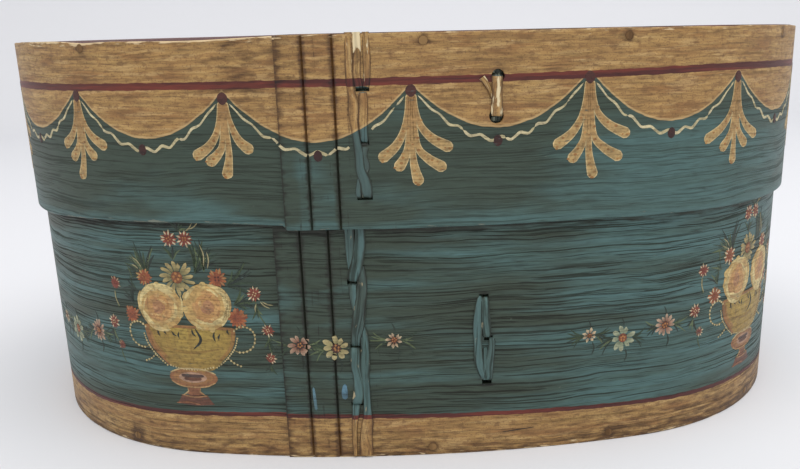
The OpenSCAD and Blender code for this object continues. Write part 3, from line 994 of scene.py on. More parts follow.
make_band("body_band_wood", "body_band", BODY, body_rim, body_foot, BODY_SLOTS, [], BODY_PEG_Z, BODY_PAINT)
make_band(
    "lid_band_wood", "lid_band", LID, lid_rim, lid_foot, LID_SLOTS, LID_ROUND_SLOTS, LID_PEG_Z, LID_PAINT
)


def make_board(name, node, body, out, low, high, worn, wood):
    """An oval board with an eased edge, whose top is worn down by 'worn' mm at places round its rim."""
    n, ease = 240, 0.5
    round_about = np.array([oval_point(k / n * oval_length(out), out) for k in range(n)])
    rim, turn = round_about[:, :2], round_about[:, 2]
    away = np.column_stack([np.cos(turn), np.sin(turn)])
    drop = worn(LID.near(np.arange(n) / n * LID.round))
    rings = [np.column_stack([rim * part, np.full(n, low)]) for part in (0.0, 0.25, 0.5, 0.75, 0.95)]
    for angle in (0, 30, 60, 90):
        c, d = 1 - math.sin(math.radians(angle)), 1 - math.cos(math.radians(angle))
        rings.append(np.column_stack([rim - away * ease * c, np.full(n, low + ease * d)]))
    for angle in (0, 30, 60, 90):
        c, d = 1 - math.cos(math.radians(angle)), 1 - math.sin(math.radians(angle))
        rings.append(np.column_stack([rim - away * ease * c, high - drop - ease * d]))
    for part, share in ((0.97, 0.5), (0.93, 0.12), (0.75, 0), (0.5, 0), (0.25, 0), (0.0, 0)):
        rings.append(np.column_stack([rim * part, high - share * drop]))
    obj = new_object(name, np.vstack(rings), ring_faces(len(rings), n))
    face_out(obj, weld=True)
    obj.data.materials.append(wood)
    shade(obj)
    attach(obj, body)
    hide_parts(node)


def lid_board_wear(place):
    """How far the lid board's near left edge is worn down."""
    return np.interp(place, (-235, -200, -165, -100, -84, -60), (0.0, 0.9, 1.5, 1.5, 0.9, 0.0))


make_board("bottom_board_wood", "bottom_board", "box", -3.65, 0.2, BASE_BOARD_T, np.zeros_like, BOARD_PINE)
make_board("lid_board_wood", "lid_board", "lid", 1.35, LID_BOARD_LOW, LID_TOP, lid_board_wear, RED_BOARD)


# --- Ornament -----------------------------------------------------------------------------------


class Drawing:
    """Brush strokes on one band, kept as lines that each have a half width, a coat and a pigment."""

    def __init__(self, band):
        self.band, self.shift = band, 0.0
        self.points, self.edges, self.reach, self.coats, self.pigments = [], [], [], [], []

    def lay(self, places, reach, colours, coat):
        """Adds one line. It breaks at the lap's outer end, at its scribed lines and under the sewing."""
        lap_end, before = self.band.lap_end, None
        for k, (s, z) in enumerate(places):
            turned = s < lap_end
            if k and turned == (before < lap_end) and not self.scribed(before, s) and not self.sewn(s):
                self.edges.append((len(self.points) - 1, len(self.points)))
            self.points.append((s + (self.band.round if turned else 0), 0, z + self.shift))
            self.reach.append(max(reach[k], 0.05) * MM)
            self.coats.append(coat)
            self.pigments.append(colours[k])
            before = s

    def scribed(self, s0, s1):
        """Whether a scribed line of the lap lies between two places."""
        return any((s0 - self.band.lap_end - d) * (s1 - self.band.lap_end - d) < 0 for d in SCRIBED_AT)

    def sewn(self, s):
        """Whether the seam's straps cover a place."""
        return self.band.seam[0] < s < self.band.seam[1]

    def stroke(self, path, pigment, coat, ends, to=None, step=0.8):
        """A stroke through (s, z, half width), rounded off over both ends. Its pigment runs 'to' another."""
        run = smooth(path, step)
        along = np.r_[0, np.cumsum(np.hypot(*np.diff(run[:, :2], axis=0).T))]
        reach = run[:, 2]
        for over, far in ((ends[0], along), (ends[1], along[-1] - along)):
            reach = reach * np.sqrt(np.maximum(0.02, 1 - np.maximum(0, 1 - far / over) ** 2))
        start, stop = np.array(linear(pigment)), np.array(linear(to or pigment))
        part = (along / max(along[-1], 1e-9))[:, None]
        self.lay(run[:, :2], reach, start + (stop - start) * part, coat)

    def dot(self, s, z, wide, pigment, coat, high=None, steps=9):
        """A round or oval dab."""
        turn = np.linspace(0.12, math.pi - 0.12, steps)
        places = np.column_stack([s + 0 * turn, z - (high or wide) * np.cos(turn)])
        self.lay(places, wide * np.sin(turn), [linear(pigment)] * steps, coat)

    def paint(self, name, body, sides=10):
        """The drawing as one piece that rides on a body."""
        obj = new_object(name, self.points, edges=self.edges)
        set_values(obj, "reach", self.reach)
        set_values(obj, "coat", self.coats)
        colours = obj.data.attributes.new("pigment", "FLOAT_COLOR", "POINT")
        colours.data.foreach_set("color", np.array(self.pigments).ravel())
        lap = {"Lap end": self.band.lap_end * MM, "Sides": sides, "Paint": FLOWER_PAINT}
        piece = grow(obj, STROKE_TREE, {**on_oval(self.band), **lap})
        shade(piece, 60)
        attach(piece, body)


MAROON = "#48221C"
# Tassels seen at the front: the lobes' tips, from the peak's dot
TIPS = {
    0: ((-13, -24), (-8, -30.5), (-3, -39.5), (7.5, -29.5), (15, -24)),
    1: ((-14.8, -26.5), (-8.4, -29.6), (-0.6, -35.6), (11, -23.8)),
    2: ((-14, -30.6), (-6.5, -35.2), (2.5, -42.2), (13.8, -35.8), (17, -26.4)),
    3: ((-15.5, -31), (-8, -38), (2.5, -46), (15.5, -38), (19, -27)),
    4: ((-19, -30), (-8, -35), (0, -42), (9, -34), (17.5, -30)),
}
# A tassel's lobes are laid pale, and once more in brown: how much narrower, the pigments at the root and
# at the tip, and the step along a lobe. Then so many dabs of browns lie on each lobe.
TASSEL_COATS = ((0.0, "#BCA474", "#C4AE80", 0.8), (0.448, "#9A7446", "#AE9260", 1.5))
TASSEL_DABS, TASSEL_BROWNS = 11, ("#A27A48", "#94693A", "#AC8652")


def tassel(drawing, s, z, tips):
    """Lobes that run down from a peak side by side, part, and each swell to a round end."""
    for coat, (narrower, root, tip, step) in enumerate(TASSEL_COATS):
        for k, (ds, dz) in enumerate(tips):
            beside = (k - (len(tips) - 1) / 2) * (5 / len(tips)) ** 1.6
            leaves, bends = (0.62, 0.84) if k in (0, len(tips) - 1) else (0.72, 0.88)
            bend_s, bend_z = 0.46 * ds + 0.8 * beside, bends * dz
            far = math.hypot(ds - bend_s, dz - bend_z)
            past_s, past_z = (ds - bend_s) / far, (dz - bend_z) / far
            path = [
                (s + 0.75 * beside, z - 1.5, 1.0),
                (s + 1.1 * beside, z + 0.36 * dz, 1.35),
                (s + 1.55 * beside + 0.07 * ds, z + leaves * dz, 1.75),
                (s + bend_s, z + bend_z, 2.3),
                (s + ds, z + dz, 2.9),
                (s + ds + 2.2 * past_s, z + dz + 2.2 * past_z, 2.9),
            ]
            lobe = [(place, height, wide - narrower) for place, height, wide in path]
            drawing.stroke(lobe, root, coat, (0.6, 2.8), tip, step)
            # Each dab has its own place along the lobe and across it.
            for n in range(TASSEL_DABS * coat):
                at, part = divmod(1.3 + 3.6 * ((0.618 * n + 0.31 * k) % 1), 1)
                (s0, z0, w0), (s1, z1, w1) = path[int(at) : int(at) + 2]
                run = math.hypot(s1 - s0, z1 - z0)
                aside = ((0.755 * n + 0.21 * k) % 1 - 0.5) * 1.1 * (w0 + (w1 - w0) * part) / run
                dab_s = s0 + (s1 - s0) * part + (z1 - z0) * aside
                dab_z = z0 + (z1 - z0) * part - (s1 - s0) * aside
                size = 0.45 + 0.6 * (0.57 * n % 1)
                drawing.dot(dab_s, dab_z, size, TASSEL_BROWNS[n % 3], 2, 0.6 * size, 5)


def wavy_line(drawing, s0, s1):
    """Line that wavers along under the edge between two peaks, laid in a few breaths of the brush."""
    count = 90
    path = []
    for k in range(count + 1):
        t = k / count
        s = s0 + 3.2 + (s1 - s0 - 6.4) * t
        gap = 2.2 + 3.2 * math.sin(math.pi * t)
        beat = math.sin(2 * math.pi * 8.5 * t + 0.8 + 0.6 * math.sin(9 * t))
        wave = 1.05 * beat * abs(beat) ** 0.3 * min(1, 5 * t, 5 * (1 - t))
        wide = 0.42 + 0.3 * math.sin(math.pi * t) + 0.08 * math.sin(57 * t + s0)
        path.append((s, float(swag_edge(s)) - gap + wave, wide))
    first = 0
    while first < count:
        last = min(count, first + int(rng.integers(14, 30)))
        last = count if count - last < 5 else last
        drawing.stroke(path[first : last + 1], "#C6BA96", 0, (0.3, 0.6), "#B4A982")
        first = last + (1 if rng.random() < 0.2 else 0)


def lid_ornament():
    """Swags round the lid: dots, wavy lines and tassels."""
    swags, tassels = Drawing(LID), Drawing(LID)
    peaks = lid_peaks()
    for k, (s, z) in enumerate(peaks):
        after = peaks[k + 1][0] if k + 1 < len(peaks) else peaks[0][0] + LID.round
        wavy_line(swags, s, after)
        usual = [(ds + rng.uniform(-1.5, 1.5), dz + rng.uniform(-2, 2)) for ds, dz in TIPS[2]]
        tassel(tassels, s, z, TIPS.get(k, usual))
        middle = (s + after) / 2 + rng.uniform(-1, 1)
        low = FRONT_LOWS[k] if k < len(FRONT_LOWS) else (middle, float(swag_edge(middle)) - 5.9)
        swags.dot(s, z, 2.6, MAROON, 2, 2.9)
        swags.dot(*low, 2.25, "#341410", 2, 2.7)
    swags.paint("lid_swag_ornament", "lid")
    tassels.paint("lid_tassel_ornament", "lid")


lid_ornament()


GREENS = ("#26332A", "#2E3F2C", "#3B4A2F", "#232E28", "#2A3A2C", "#5A6747")


def away(s, z, angle, wide, high=None):
    """A place out from a middle in a direction in radians, or round it on an oval."""
    return s + wide * math.cos(angle), z + (high or wide) * math.sin(angle)


def leaf(drawing, s, z, angle, length, pigment, curl, wide, coat=0):
    """A narrow blade from its root, in a direction in degrees, that curls."""
    middle = away(s, z, math.radians(angle), 0.5 * length)
    tip = away(*middle, math.radians(angle + 57 * curl), 0.5 * length)
    drawing.stroke([(s, z, 0.3), (*middle, wide), (*tip, 0.18)], pigment, coat, (0.3, 0.3), step=1.2)


def fan(drawing, s, z, angle, spread, count, length, wide=0.62):
    """Blades that spread from one root, feathered."""
    for k in range(count):
        part = k / max(1, count - 1) - 0.5
        green = GREENS[int(rng.integers(0, len(GREENS)))]
        turn = angle + spread * part + rng.uniform(-4, 4)
        blade, thick = length * rng.uniform(0.6, 1.15), wide * rng.uniform(0.7, 1.3)
        leaf(drawing, s, z, turn, blade, green, 0.7 * part, thick)


def daisy(drawing, s, z, r, petal, root, heart, count):
    """Thin separate petals, darker at their roots, round a dotted heart."""
    turn = rng.uniform(0, 6.3)
    wide = 2.0 * r / count
    for k in range(count):
        a = turn + 2 * math.pi * (k + rng.uniform(-0.2, 0.2)) / count
        tip = r * rng.uniform(0.78, 1.08)
        path = [
            (*away(s, z, a, 0.3 * r), wide * 0.5),
            (*away(s, z, a, 0.65 * r), wide * rng.uniform(0.7, 1.0)),
            (*away(s, z, a + 0.08, tip), wide * 0.7),
        ]
        drawing.stroke(path, root, 1, (0.2, wide), petal)
    drawing.dot(s, z, 0.34 * r, heart, 2)
    for k in range(5):
        speck = away(s, z, turn + 1.26 * k, 0.2 * r * rng.uniform(0.5, 1.2))
        drawing.dot(*speck, 0.07 * r + 0.1, "#A5713F", 3, steps=5)


def pink(drawing, s, z, r, base, tips, heart, marks):
    """A dab of red with short pale marks drawn out of it."""
    drawing.dot(s, z, 0.66 * r, base, 1)
    turn = rng.uniform(0, 6.3)
    lit = LIT[base]
    for k in range(14):
        a, far = turn + 0.449 * k, r * rng.uniform(0.72, 0.95)
        path = [(*away(s, z, a, 0.3 * r), 0.06 * r), (*away(s, z, a, far), 0.15 * r)]
        drawing.stroke(path, base, 1.5, (0.2, 0.15 * r), lit if k % 3 else base)
    wide = 0.24 + 0.065 * r
    for k in range(marks):
        a = turn + 2 * math.pi * (k + rng.uniform(-0.25, 0.25)) / 9
        near, far = 0.4 * r * rng.uniform(0.8, 1.2), r * rng.uniform(0.82, 1.04)
        path = [(*away(s, z, a, near), wide * 0.6), (*away(s, z, a, far), wide)]
        drawing.stroke(path, tips, 2, (0.2, wide))
    for k in range(4):
        drawing.dot(*away(s, z, 1.57 * k + turn, 0.2 * r), 0.1 * r, heart, 3, steps=5)


ROSE_TONES = (
    ("#CDBA84", "#BDA269", "#AC8852"),
    ("#B98F5A", "#A87A4E", "#C6A56E"),
    ("#A67A55", "#9A6B4D", "#B48B60"),
)


def rose(drawing, s, z, wide, high, lean):
    """A full blown rose: a scalloped disc, then long curved brush marks from pale to rosy."""
    drawing.dot(s, z, wide * 0.95, "#B5945B", 3, high * 0.95, 15)
    drawing.dot(s + 0.5 * lean * wide, z - 0.05 * high, wide * 0.6, "#B18651", 3.5, high * 0.58, 11)
    drawing.dot(s + lean * wide, z, wide * 0.26, "#A47852", 4.5, high * 0.3)
    for k in range(11):
        a = 0.57 * k + 0.3 * math.sin(2 * k)
        far = 0.87 * (1 + 0.03 * math.sin(3 * k))
        petal = 0.15 * wide * rng.uniform(0.85, 1.1)
        drawing.dot(*away(s, z, a, wide * far, high * far), petal, "#BAA067", 3)
    for level, far in enumerate(np.linspace(0.97, 0.1, 11)):
        for _ in range(5 if far > 0.45 else 3):
            start, sweep = rng.uniform(0, 6.3), rng.uniform(0.5, 1.6)
            thick = wide * rng.uniform(0.03, 0.07)
            tones = ROSE_TONES[0 if far > 0.68 else 1 if far > 0.34 else 2]
            tone = tones[int(rng.integers(0, 3))]
            path = []
            for q in np.linspace(0, 1, 5):
                a = start + sweep * q
                bulge = far * (1 + 0.05 * math.sin(3 * a + level)) - 0.05 * math.sin(math.pi * q)
                x = s + wide * bulge * math.cos(a) + lean * (1 - far) * wide
                path.append((x, z + high * bulge * math.sin(a), thick * (0.5 + math.sin(math.pi * q))))
            drawing.stroke(path, tone, 4 + 0.15 * level, (0.5, 0.5), tones[0])


def rope(drawing, places, size):
    """A row of touching beads on a thin line."""
    drawing.stroke([(s, z, 0.45 * size) for s, z in places], "#7E7048", 1, (0.3, 0.3), step=1.5)
    for s, z, _ in smooth([(s, z, 0) for s, z in places], 2.6 * size):
        drawing.dot(s, z, size * rng.uniform(0.8, 1.1), "#BFAE80", 2, steps=5)


# The cup's outline: (height, half width). Its ropes: (from the middle, height). Dark leaves that hang over
# its brim: (from the middle, height, direction, length).
CUP = ((72, 27.3), (66, 26.9), (60, 24.6), (54.5, 19.6), (50.5, 15.2), (48, 12.6))
HANDLE = ((25, 70), (28, 72.2), (32, 72), (35, 69.8), (35.8, 66), (34.4, 61.6), (31, 59), (27, 58.4))
HANDLE += ((24, 59.5),)
HANDLE_TAIL = ((20.6, 55), (23.5, 52.4), (27, 50.8))
CUP_SIDE = ((26.4, 66), (24.8, 61), (21.5, 56.4), (17.8, 52.6), (14, 49.6))
COMMAS = ((-17, 70, -100, 5), (-14, 70, -80, 4), (-9.5, 69, -60, 4.5), (-5, 69, -110, 4.5))
COMMAS += ((2.2, 70.5, -80, 5), (14.5, 69.5, -105, 6), (17.5, 68.5, -120, 4.5), (21.5, 71.5, -95, 4))


def urn(drawing, s):
    """A footed cup with roped handles."""
    drawing.stroke([(s, z, w) for z, w in CUP], "#8C643C", 0, (0.6, 2.0))
    for shift, wide, pigment in ((0.02, 0.93, "#947838"), (0.08, 0.8, "#9A803C"), (0.14, 0.5, "#A48B42")):
        path = [(s + shift * w, z - 0.3 - 0.1 * (70 - z) * (0.93 - wide), w * wide) for z, w in CUP]
        drawing.stroke(path, pigment, 1 + 2 * shift, (0.6, 2.0), "#92783E")
    for z, wide, pigment in ((64, 20, "#9F8440"), (58, 17, "#8A6E36"), (53, 12, "#9A7E3E")):
        band = [(s - wide, z + 2, 0.4), (s, z - 0.6, 0.9), (s + wide, z + 2, 0.4)]
        drawing.stroke(band, pigment, 1.6, (0.4, 0.4), step=2)
    for path, pigment, wide in (
        (((-24.6, 69), (-22.8, 62.5), (-19.2, 57), (-14.5, 52.6)), "#8A6038", 1.1),
        (((-22.0, 68.5), (-20.6, 62.5), (-17.0, 57.6), (-13.0, 53.6)), "#926C3C", 0.8),
        (((24.8, 68.5), (23.2, 62.5), (19.6, 57.2), (15.2, 53)), "#8E6C3A", 0.8),
        (((-25.5, 70.8), (-12, 71.4), (12, 71.4), (25.5, 70.8)), "#8C6438", 0.8),
    ):
        drawing.stroke([(s + x, z, wide) for x, z in path], pigment, 1.8, (0.6, 0.6), step=1.5)
    # Foot: a ring with an open middle, a stem and a spread base, each edged in paler strokes.
    for dz, wide, high, pigment, coat in (
        (0, 14.2, 5.4, "#8A5E3C", 1),
        (0.4, 12.6, 4.2, "#916840", 1.4),
        (0.2, 8.8, 3.0, "#A4826A", 2),
    ):
        drawing.dot(s, 43.3 + dz, wide, pigment, coat, high, 13)
    drawing.stroke([(s - 6.4, 44.6, 0.8), (s, 44.4, 1.0), (s + 6.4, 44.6, 0.8)], "#4E3A34", 3, (0.4, 0.4))
    drawing.stroke([(s - 5, 42.9, 0.9), (s, 42.5, 1.0), (s + 5, 42.9, 0.9)], "#5E3C2C", 3, (0.4, 0.4))
    drawing.stroke([(s, 39.4, 5.2), (s, 36, 3.5), (s, 33.4, 6.0)], "#7E5238", 0.5, (0.4, 0.4))
    drawing.stroke([(s, 33.8, 7.6), (s, 31, 9.0), (s, 27.6, 11.8)], "#6C4432", 0.8, (0.4, 0.8), "#5A3A2E")
    for path, pigment in (
        (((-13, 45.6), (-6, 48.2), (6, 48.2), (13, 45.6)), "#B09A70"),
        (((-12.6, 41), (-6, 38.4), (6, 38.4), (12.6, 41)), "#A5835A"),
        (((-3.6, 37.6), (-3.2, 35.6), (-6.6, 33.2)), "#A98F66"),
        (((3.6, 37.6), (3.2, 35.6), (6.6, 33.2)), "#9A7850"),
        (((-7.5, 33.4), (0, 32.4), (7.5, 33.4)), "#9A7350"),
        (((-11, 28.4), (-4, 29.2), (3, 28.2)), "#8A5A3C"),
    ):
        drawing.stroke([(s + x, z, 0.42) for x, z in path], pigment, 3, (0.4, 0.4), step=1.5)
    rope(drawing, [(s + x, 47.9 + 0.012 * x * x) for x in (-12, -6, 0, 6, 12)], 0.5)
    for side in (-1, 1):
        for row, size in ((HANDLE, 0.62), (HANDLE_TAIL, 0.56), (CUP_SIDE, 0.5)):
            rope(drawing, [(s + side * x, z) for x, z in row], size)
    for dx, z, angle, length in COMMAS:
        leaf(drawing, s + dx, z, angle, length, "#20261F", 0.6, 0.62, 3)
    leaf(drawing, s + 4, 71, -68, 14, "#20261F", -1.1, 0.85, 3)


RED, ORANGE, WHITE, PETAL = "#743628", "#84462B", "#C9B998", "#B09C6A"
LIT = {RED: "#8E4A36", ORANGE: "#A8683C", "#704438": "#84543F"}
# Small flowers round each urn, from its middle: place, height, size, the marks' pigment and number, the
# petals' pigment and the heart's
PINKS = (
    (-5.2, 118, 4.8, WHITE, 9, RED, "#A5703F"),
    (3.3, 118.2, 4.6, WHITE, 9, RED, "#A5703F"),
    (-22, 97.2, 5.4, "#A98A58", 6, ORANGE, "#8C5A30"),
    (18.5, 97.7, 5.8, "#A0764C", 5, ORANGE, "#4E241C"),
    (-42.5, 92, 4.2, "#A58F72", 5, RED, RED),
    (-33, 76, 5.6, "#9A6A48", 4, ORANGE, "#7A4630"),
    (27.3, 77, 6.2, "#94603E", 5, ORANGE, "#7E4630"),
    (37.3, 90, 4.5, WHITE, 8, RED, "#B59A74"),
    (42.8, 70.7, 3.8, WHITE, 7, RED, "#B59A74"),
    (43.3, 55.5, 3.3, WHITE, 7, RED, "#B59A74"),
    (-47, 70, 4.2, WHITE, 8, RED, "#B59A74"),
    (-43, 57.5, 3.0, "#A08060", 4, "#704438", RED),
)
# Sprays of leaves: place, height, direction, spread, number, length
FANS = (
    (-20, 98, 116, 90, 15, 17),
    (-21, 97, 150, 50, 8, 13),
    (7, 100, 62, 60, 13, 19),
    (12, 101, 92, 26, 6, 16),
    (23, 94, 18, 70, 12, 15),
    (26, 84, 20, 70, 9, 12),
    (30, 86, -5, 40, 4, 9),
    (-31, 82, 112, 50, 6, 10),
    (-4, 107, 90, 60, 5, 8),
    (0, 122, 60, 120, 6, 6),
    (-9, 124, 150, 50, 4, 6),
    (-28, 90, 150, 50, 4, 9),
    (37.5, 84, -85, 30, 3, 9),
    (43, 66, -90, 40, 4, 8),
    (43, 52, -95, 50, 4, 7),
    (-48, 66, -105, 50, 4, 8),
)
# Single leaves: place, height, direction, length
STEMS = ((37.5, 86, -78, 14), (42, 74, -85, 10), (43, 68, -90, 12))
STEMS += ((-43, 88, -92, 10), (-44, 55, -80, 8), (-30, 95, 100, 8))
HIGHLIGHTS = ((12, 104, 84, 12), (14, 103, 76, 9), (40, 86, -48, 6), (41, 86, -30, 6), (38, 85, -110, 5))
HIGHLIGHTS += ((-43.5, 88, -88, 9), (6, 123, 25, 7), (4, 122, 35, 6), (-23, 102, 125, 8), (-25, 101, 140, 5))


def bouquet(drawing, s, shift, roses, white):
    """Leaves first, then small flowers, and two roses in front. 'shift' is how much higher it all sits."""
    drawing.shift = shift
    for dx, z, angle, spread, count, length in FANS:
        fan(drawing, s + dx, z, angle, spread, count, length)
    for dx, z, angle, length in STEMS:
        leaf(drawing, s + dx, z, angle, length, "#4A5638", 0.3, 0.4)
    for dx, z, angle, length in HIGHLIGHTS:
        leaf(drawing, s + dx, z, angle, length, "#988F6A", 0.4, 0.36, 1)
    urn(drawing, s)
    daisy(drawing, s - 3, 98, 9.6, PETAL, "#6C6844", "#7A4A2C", 15)
    for dx, z, r, tips, marks, base, heart in PINKS:
        pink(drawing, s + dx, z, r, base, WHITE if white else tips, heart, 9 if white else marks)
    rose(drawing, s + roses[0], 81.7, 13.8, 13.0, -0.08)
    rose(drawing, s + roses[1], 82.5, 13.4, 13.2, 0.1)


# Garland between two urns, from its middle: (place, height, size, petals, roots, heart, how many)
GARLAND = (
    (-98.5, 63, 6.2, "#B49A82", "#74402E", "#3E2420", 10),
    (-80, 61.2, 7.4, "#AFA176", "#8C8358", "#4A2A20", 9),
    (-50.5, 65, 4.4, WHITE, "#7A4834", "#6A3A28", 9),
    (51, 61.2, 4.2, WHITE, "#8A6A52", "#4A2A20", 8),
    (69.5, 58.2, 7.4, "#A3A68A", "#6E7A62", "#74402C", 9),
    (94, 62.5, 6.4, "#BAA48C", "#7E4A36", "#5A3222", 12),
)


def garland(drawing, s):
    """Small flowers, each with a sprig on either side and a thin tail."""
    for dx, z, r, petal, root, heart, count in GARLAND:
        for side in (-1, 1):
            fan(drawing, s + dx + side * 0.7 * r, z, 90 - side * 102, 60, 6, 10, 0.42)
        leaf(drawing, s + dx + 1.5, z - 0.8 * r, -75, 8, GREENS[0], -0.6, 0.45)
        leaf(drawing, s + dx + 0.5, z + 0.8 * r, 95, 6, GREENS[0], 0.4, 0.4)
        daisy(drawing, s + dx, z, r, petal, root, heart, count)


# Urns: where, the middle's place, how much higher it sits than the left one, its roses' places from the
# middle, and whether all its small flowers have white marks
URNS = (
    ("front_left", -121.5, 0.0, (-14.5, 11.2), False),
    ("front_right", 196.5, -2.6, (-12.6, 16.5), True),
    ("back_right", 505.0, -1.0, (-14.0, 12.0), False),
    ("back_left", 814.0, -1.8, (-14.2, 11.6), True),
)

# Dabs of brighter blue beside the seam's foot, and a split in the foot between them
FOOT_DABS = (
    ([(-40.6, 41.5, 0.9), (-41.0, 37, 1.6), (-40.8, 33, 1.3)], "#557A8E", 0.8, "#4A6A7A"),
    ([(40.5, 10.9, 0.15), (49, 11.6, 0.3), (58, 12.3, 0.15)], "#32241A", 0.3, None),
    ([(-57.0, 40, 0.6), (-56.6, 33, 0.8), (-56.2, 27, 0.7)], "#5C7F8E", 0.8, "#4E6B74"),
)


def body_ornament():
    """An urn of flowers on each quarter of the body, and a garland between each two."""
    garlands = Drawing(BODY)
    for k, (where, s, shift, roses, white) in enumerate(URNS):
        flowers = Drawing(BODY)
        bouquet(flowers, s, shift, roses, white)
        flowers.paint(f"body_urn_{where}", "box", 12)
        after = URNS[k + 1][1] if k < 3 else URNS[0][1] + BODY.round
        garland(garlands, (s + after) / 2 - 1.5)
    for path, pigment, end, to in FOOT_DABS:
        garlands.stroke(path, pigment, 0, (end, end), to)
    garlands.paint("body_garland_ornament", "box")


body_ornament()


# --- Pegs and sewing ----------------------------------------------------------------------------


def make_pegs(name, node, band, z, seed):
    """Pegs round one board, their heads just out of the band."""
    sections = []
    turns = np.linspace(0, 2 * math.pi, 12, endpoint=False)
    for x, r in ((-PEG_L + PEG_RISE, 1.7), (-3, 2.05), (-0.1, 2.08), (0.08, 1.98), (PEG_RISE, 1.4)):
        sections.append([(x, r * math.cos(a), r * math.sin(a)) for a in turns])
    peg = loft("peg", np.array(sections))
    places, facing = [], []
    for turn in PEG_TURNS:
        x, y, angle = oval_point(turn * band.round, band.out)
        places.append((x, y, z))
        facing.append(angle)
    obj = new_object(name, places)
    set_values(obj, "facing", facing)
    piece = grow(obj, PEG_TREE, {"Peg": peg, "Seed": seed, "Wood": PEG_WOOD})
    bpy.data.objects.remove(peg)
    shade(piece)
    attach(piece, "box" if band is BODY else "lid")
    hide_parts(node)


make_pegs("bottom_peg_heads", "bottom_pegs", BODY, BODY_PEG_Z, 3)
make_pegs("lid_peg_heads", "lid_pegs", LID, LID_PEG_Z, 9)


STRAP_ACROSS = np.linspace(-1, 1, 11)
STRAP_BACK = (0.9, 0.3, -0.3, -0.9)


def strap_sections(band, path, thick, seed):
    """Sections along a strap of split root, crowned and fibrous, through (s, z, width, lift)."""
    run = smooth([(s, z, lift, width) for s, z, width, lift in path], 1.5)
    step = np.gradient(run[:, :2], axis=0)
    step /= np.linalg.norm(step, axis=1)[:, None] + 1e-9
    pick = np.random.default_rng(seed)
    fibre = pick.uniform(-0.1, 0.1, len(STRAP_ACROSS)) * thick
    crown = thick * (0.5 + 0.5 * np.sqrt(np.maximum(0, 1 - STRAP_ACROSS**4))) + fibre
    sections = []
    for k, ((s, z, lift, width), (ahead_s, ahead_z)) in enumerate(zip(run, step)):
        lap = band.lap_lift(s)
        width = width * (1 + 0.05 * math.sin(0.6 * k + seed))
        section = []
        for q, stand in [*zip(STRAP_ACROSS, crown), *((q, 0.0) for q in STRAP_BACK)]:
            section.append((s + ahead_z * width / 2 * q, -(lap + lift + stand), z - ahead_s * width / 2 * q))
        sections.append(section)
    return np.array(sections)


def sew(name, node, band, layers, paint):
    """One length of split root: its straps, by thickness, as one piece, painted over with the band."""
    parts = []
    for k, (thick, path) in enumerate((thick, path) for thick, paths in layers for path in paths):
        sections = strap_sections(band, path, thick, 20 + k)
        obj = loft(f"{name}_{k}", sections)
        s, lift, z = flat_places(obj)
        cream, line = paint_heights(band, s, z)
        across = np.tile(np.r_[STRAP_ACROSS, [1.0] * len(STRAP_BACK)], len(sections))
        sunk = lift - np.array([band.lap_lift(at) for at in s])
        # Painted shade where a strap lies sunk below the face, in a slot or along the band's back: its cream
        # turns to blue here, and it is darkened most
        set_values(obj, "cream", np.where(sunk < -0.7, -1.0, cream))
        # The red line runs over the seams, and misses the tacks by far.
        set_values(obj, "line", line + (0 if node.endswith("seam_sewing") else 1))
        rub = 0.12 + 0.7 * np.exp(-((s + 36.2) ** 2 + (z - 36) ** 2) / 1.6)
        if band is LID:
            rub = np.interp(z, (204, 211), (0.12, 0.95 if k == 1 else 0.3))
        if node == "lid_tack_stitch":
            rub = 0.42 + 0 * z
        # Dirt and painted shade darken each strap along its edges, where it meets the band
        dirt = np.interp(np.abs(across), (0.45, 0.8, 1), (0, 0.45, 1.3)) + (0.16 if k == 1 else 0.0)
        set_values(obj, "rub", rub)
        # The painted shade is strongest where the strap is sunk
        set_values(obj, "dirt", np.maximum(dirt, np.interp(sunk, (-1.2, -0.1), (1.6, 0.0))))
        set_values(obj, "scraped", 0 * s)
        set_values(obj, "grime", 0 * s + (-0.3 if k % 2 else 0.1))
        set_values(obj, "bare", np.zeros(len(obj.data.polygons), bool), "FACE", "BOOLEAN")
        vertex, _ = corner_values(obj)
        # The fibres run along the strap, so its own length takes the grain's place.
        set_map(obj, "around", z[vertex] * MM + k, across[vertex] * 1.6 * MM)
        parts.append(obj)
    with bpy.context.temp_override(active_object=parts[0], selected_editable_objects=parts):
        bpy.ops.object.join()
    parts[0].name = name
    piece = shade(bend(parts[0], band, paint), 50)
    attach(piece, "box" if band is BODY else "lid")
    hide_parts(node)


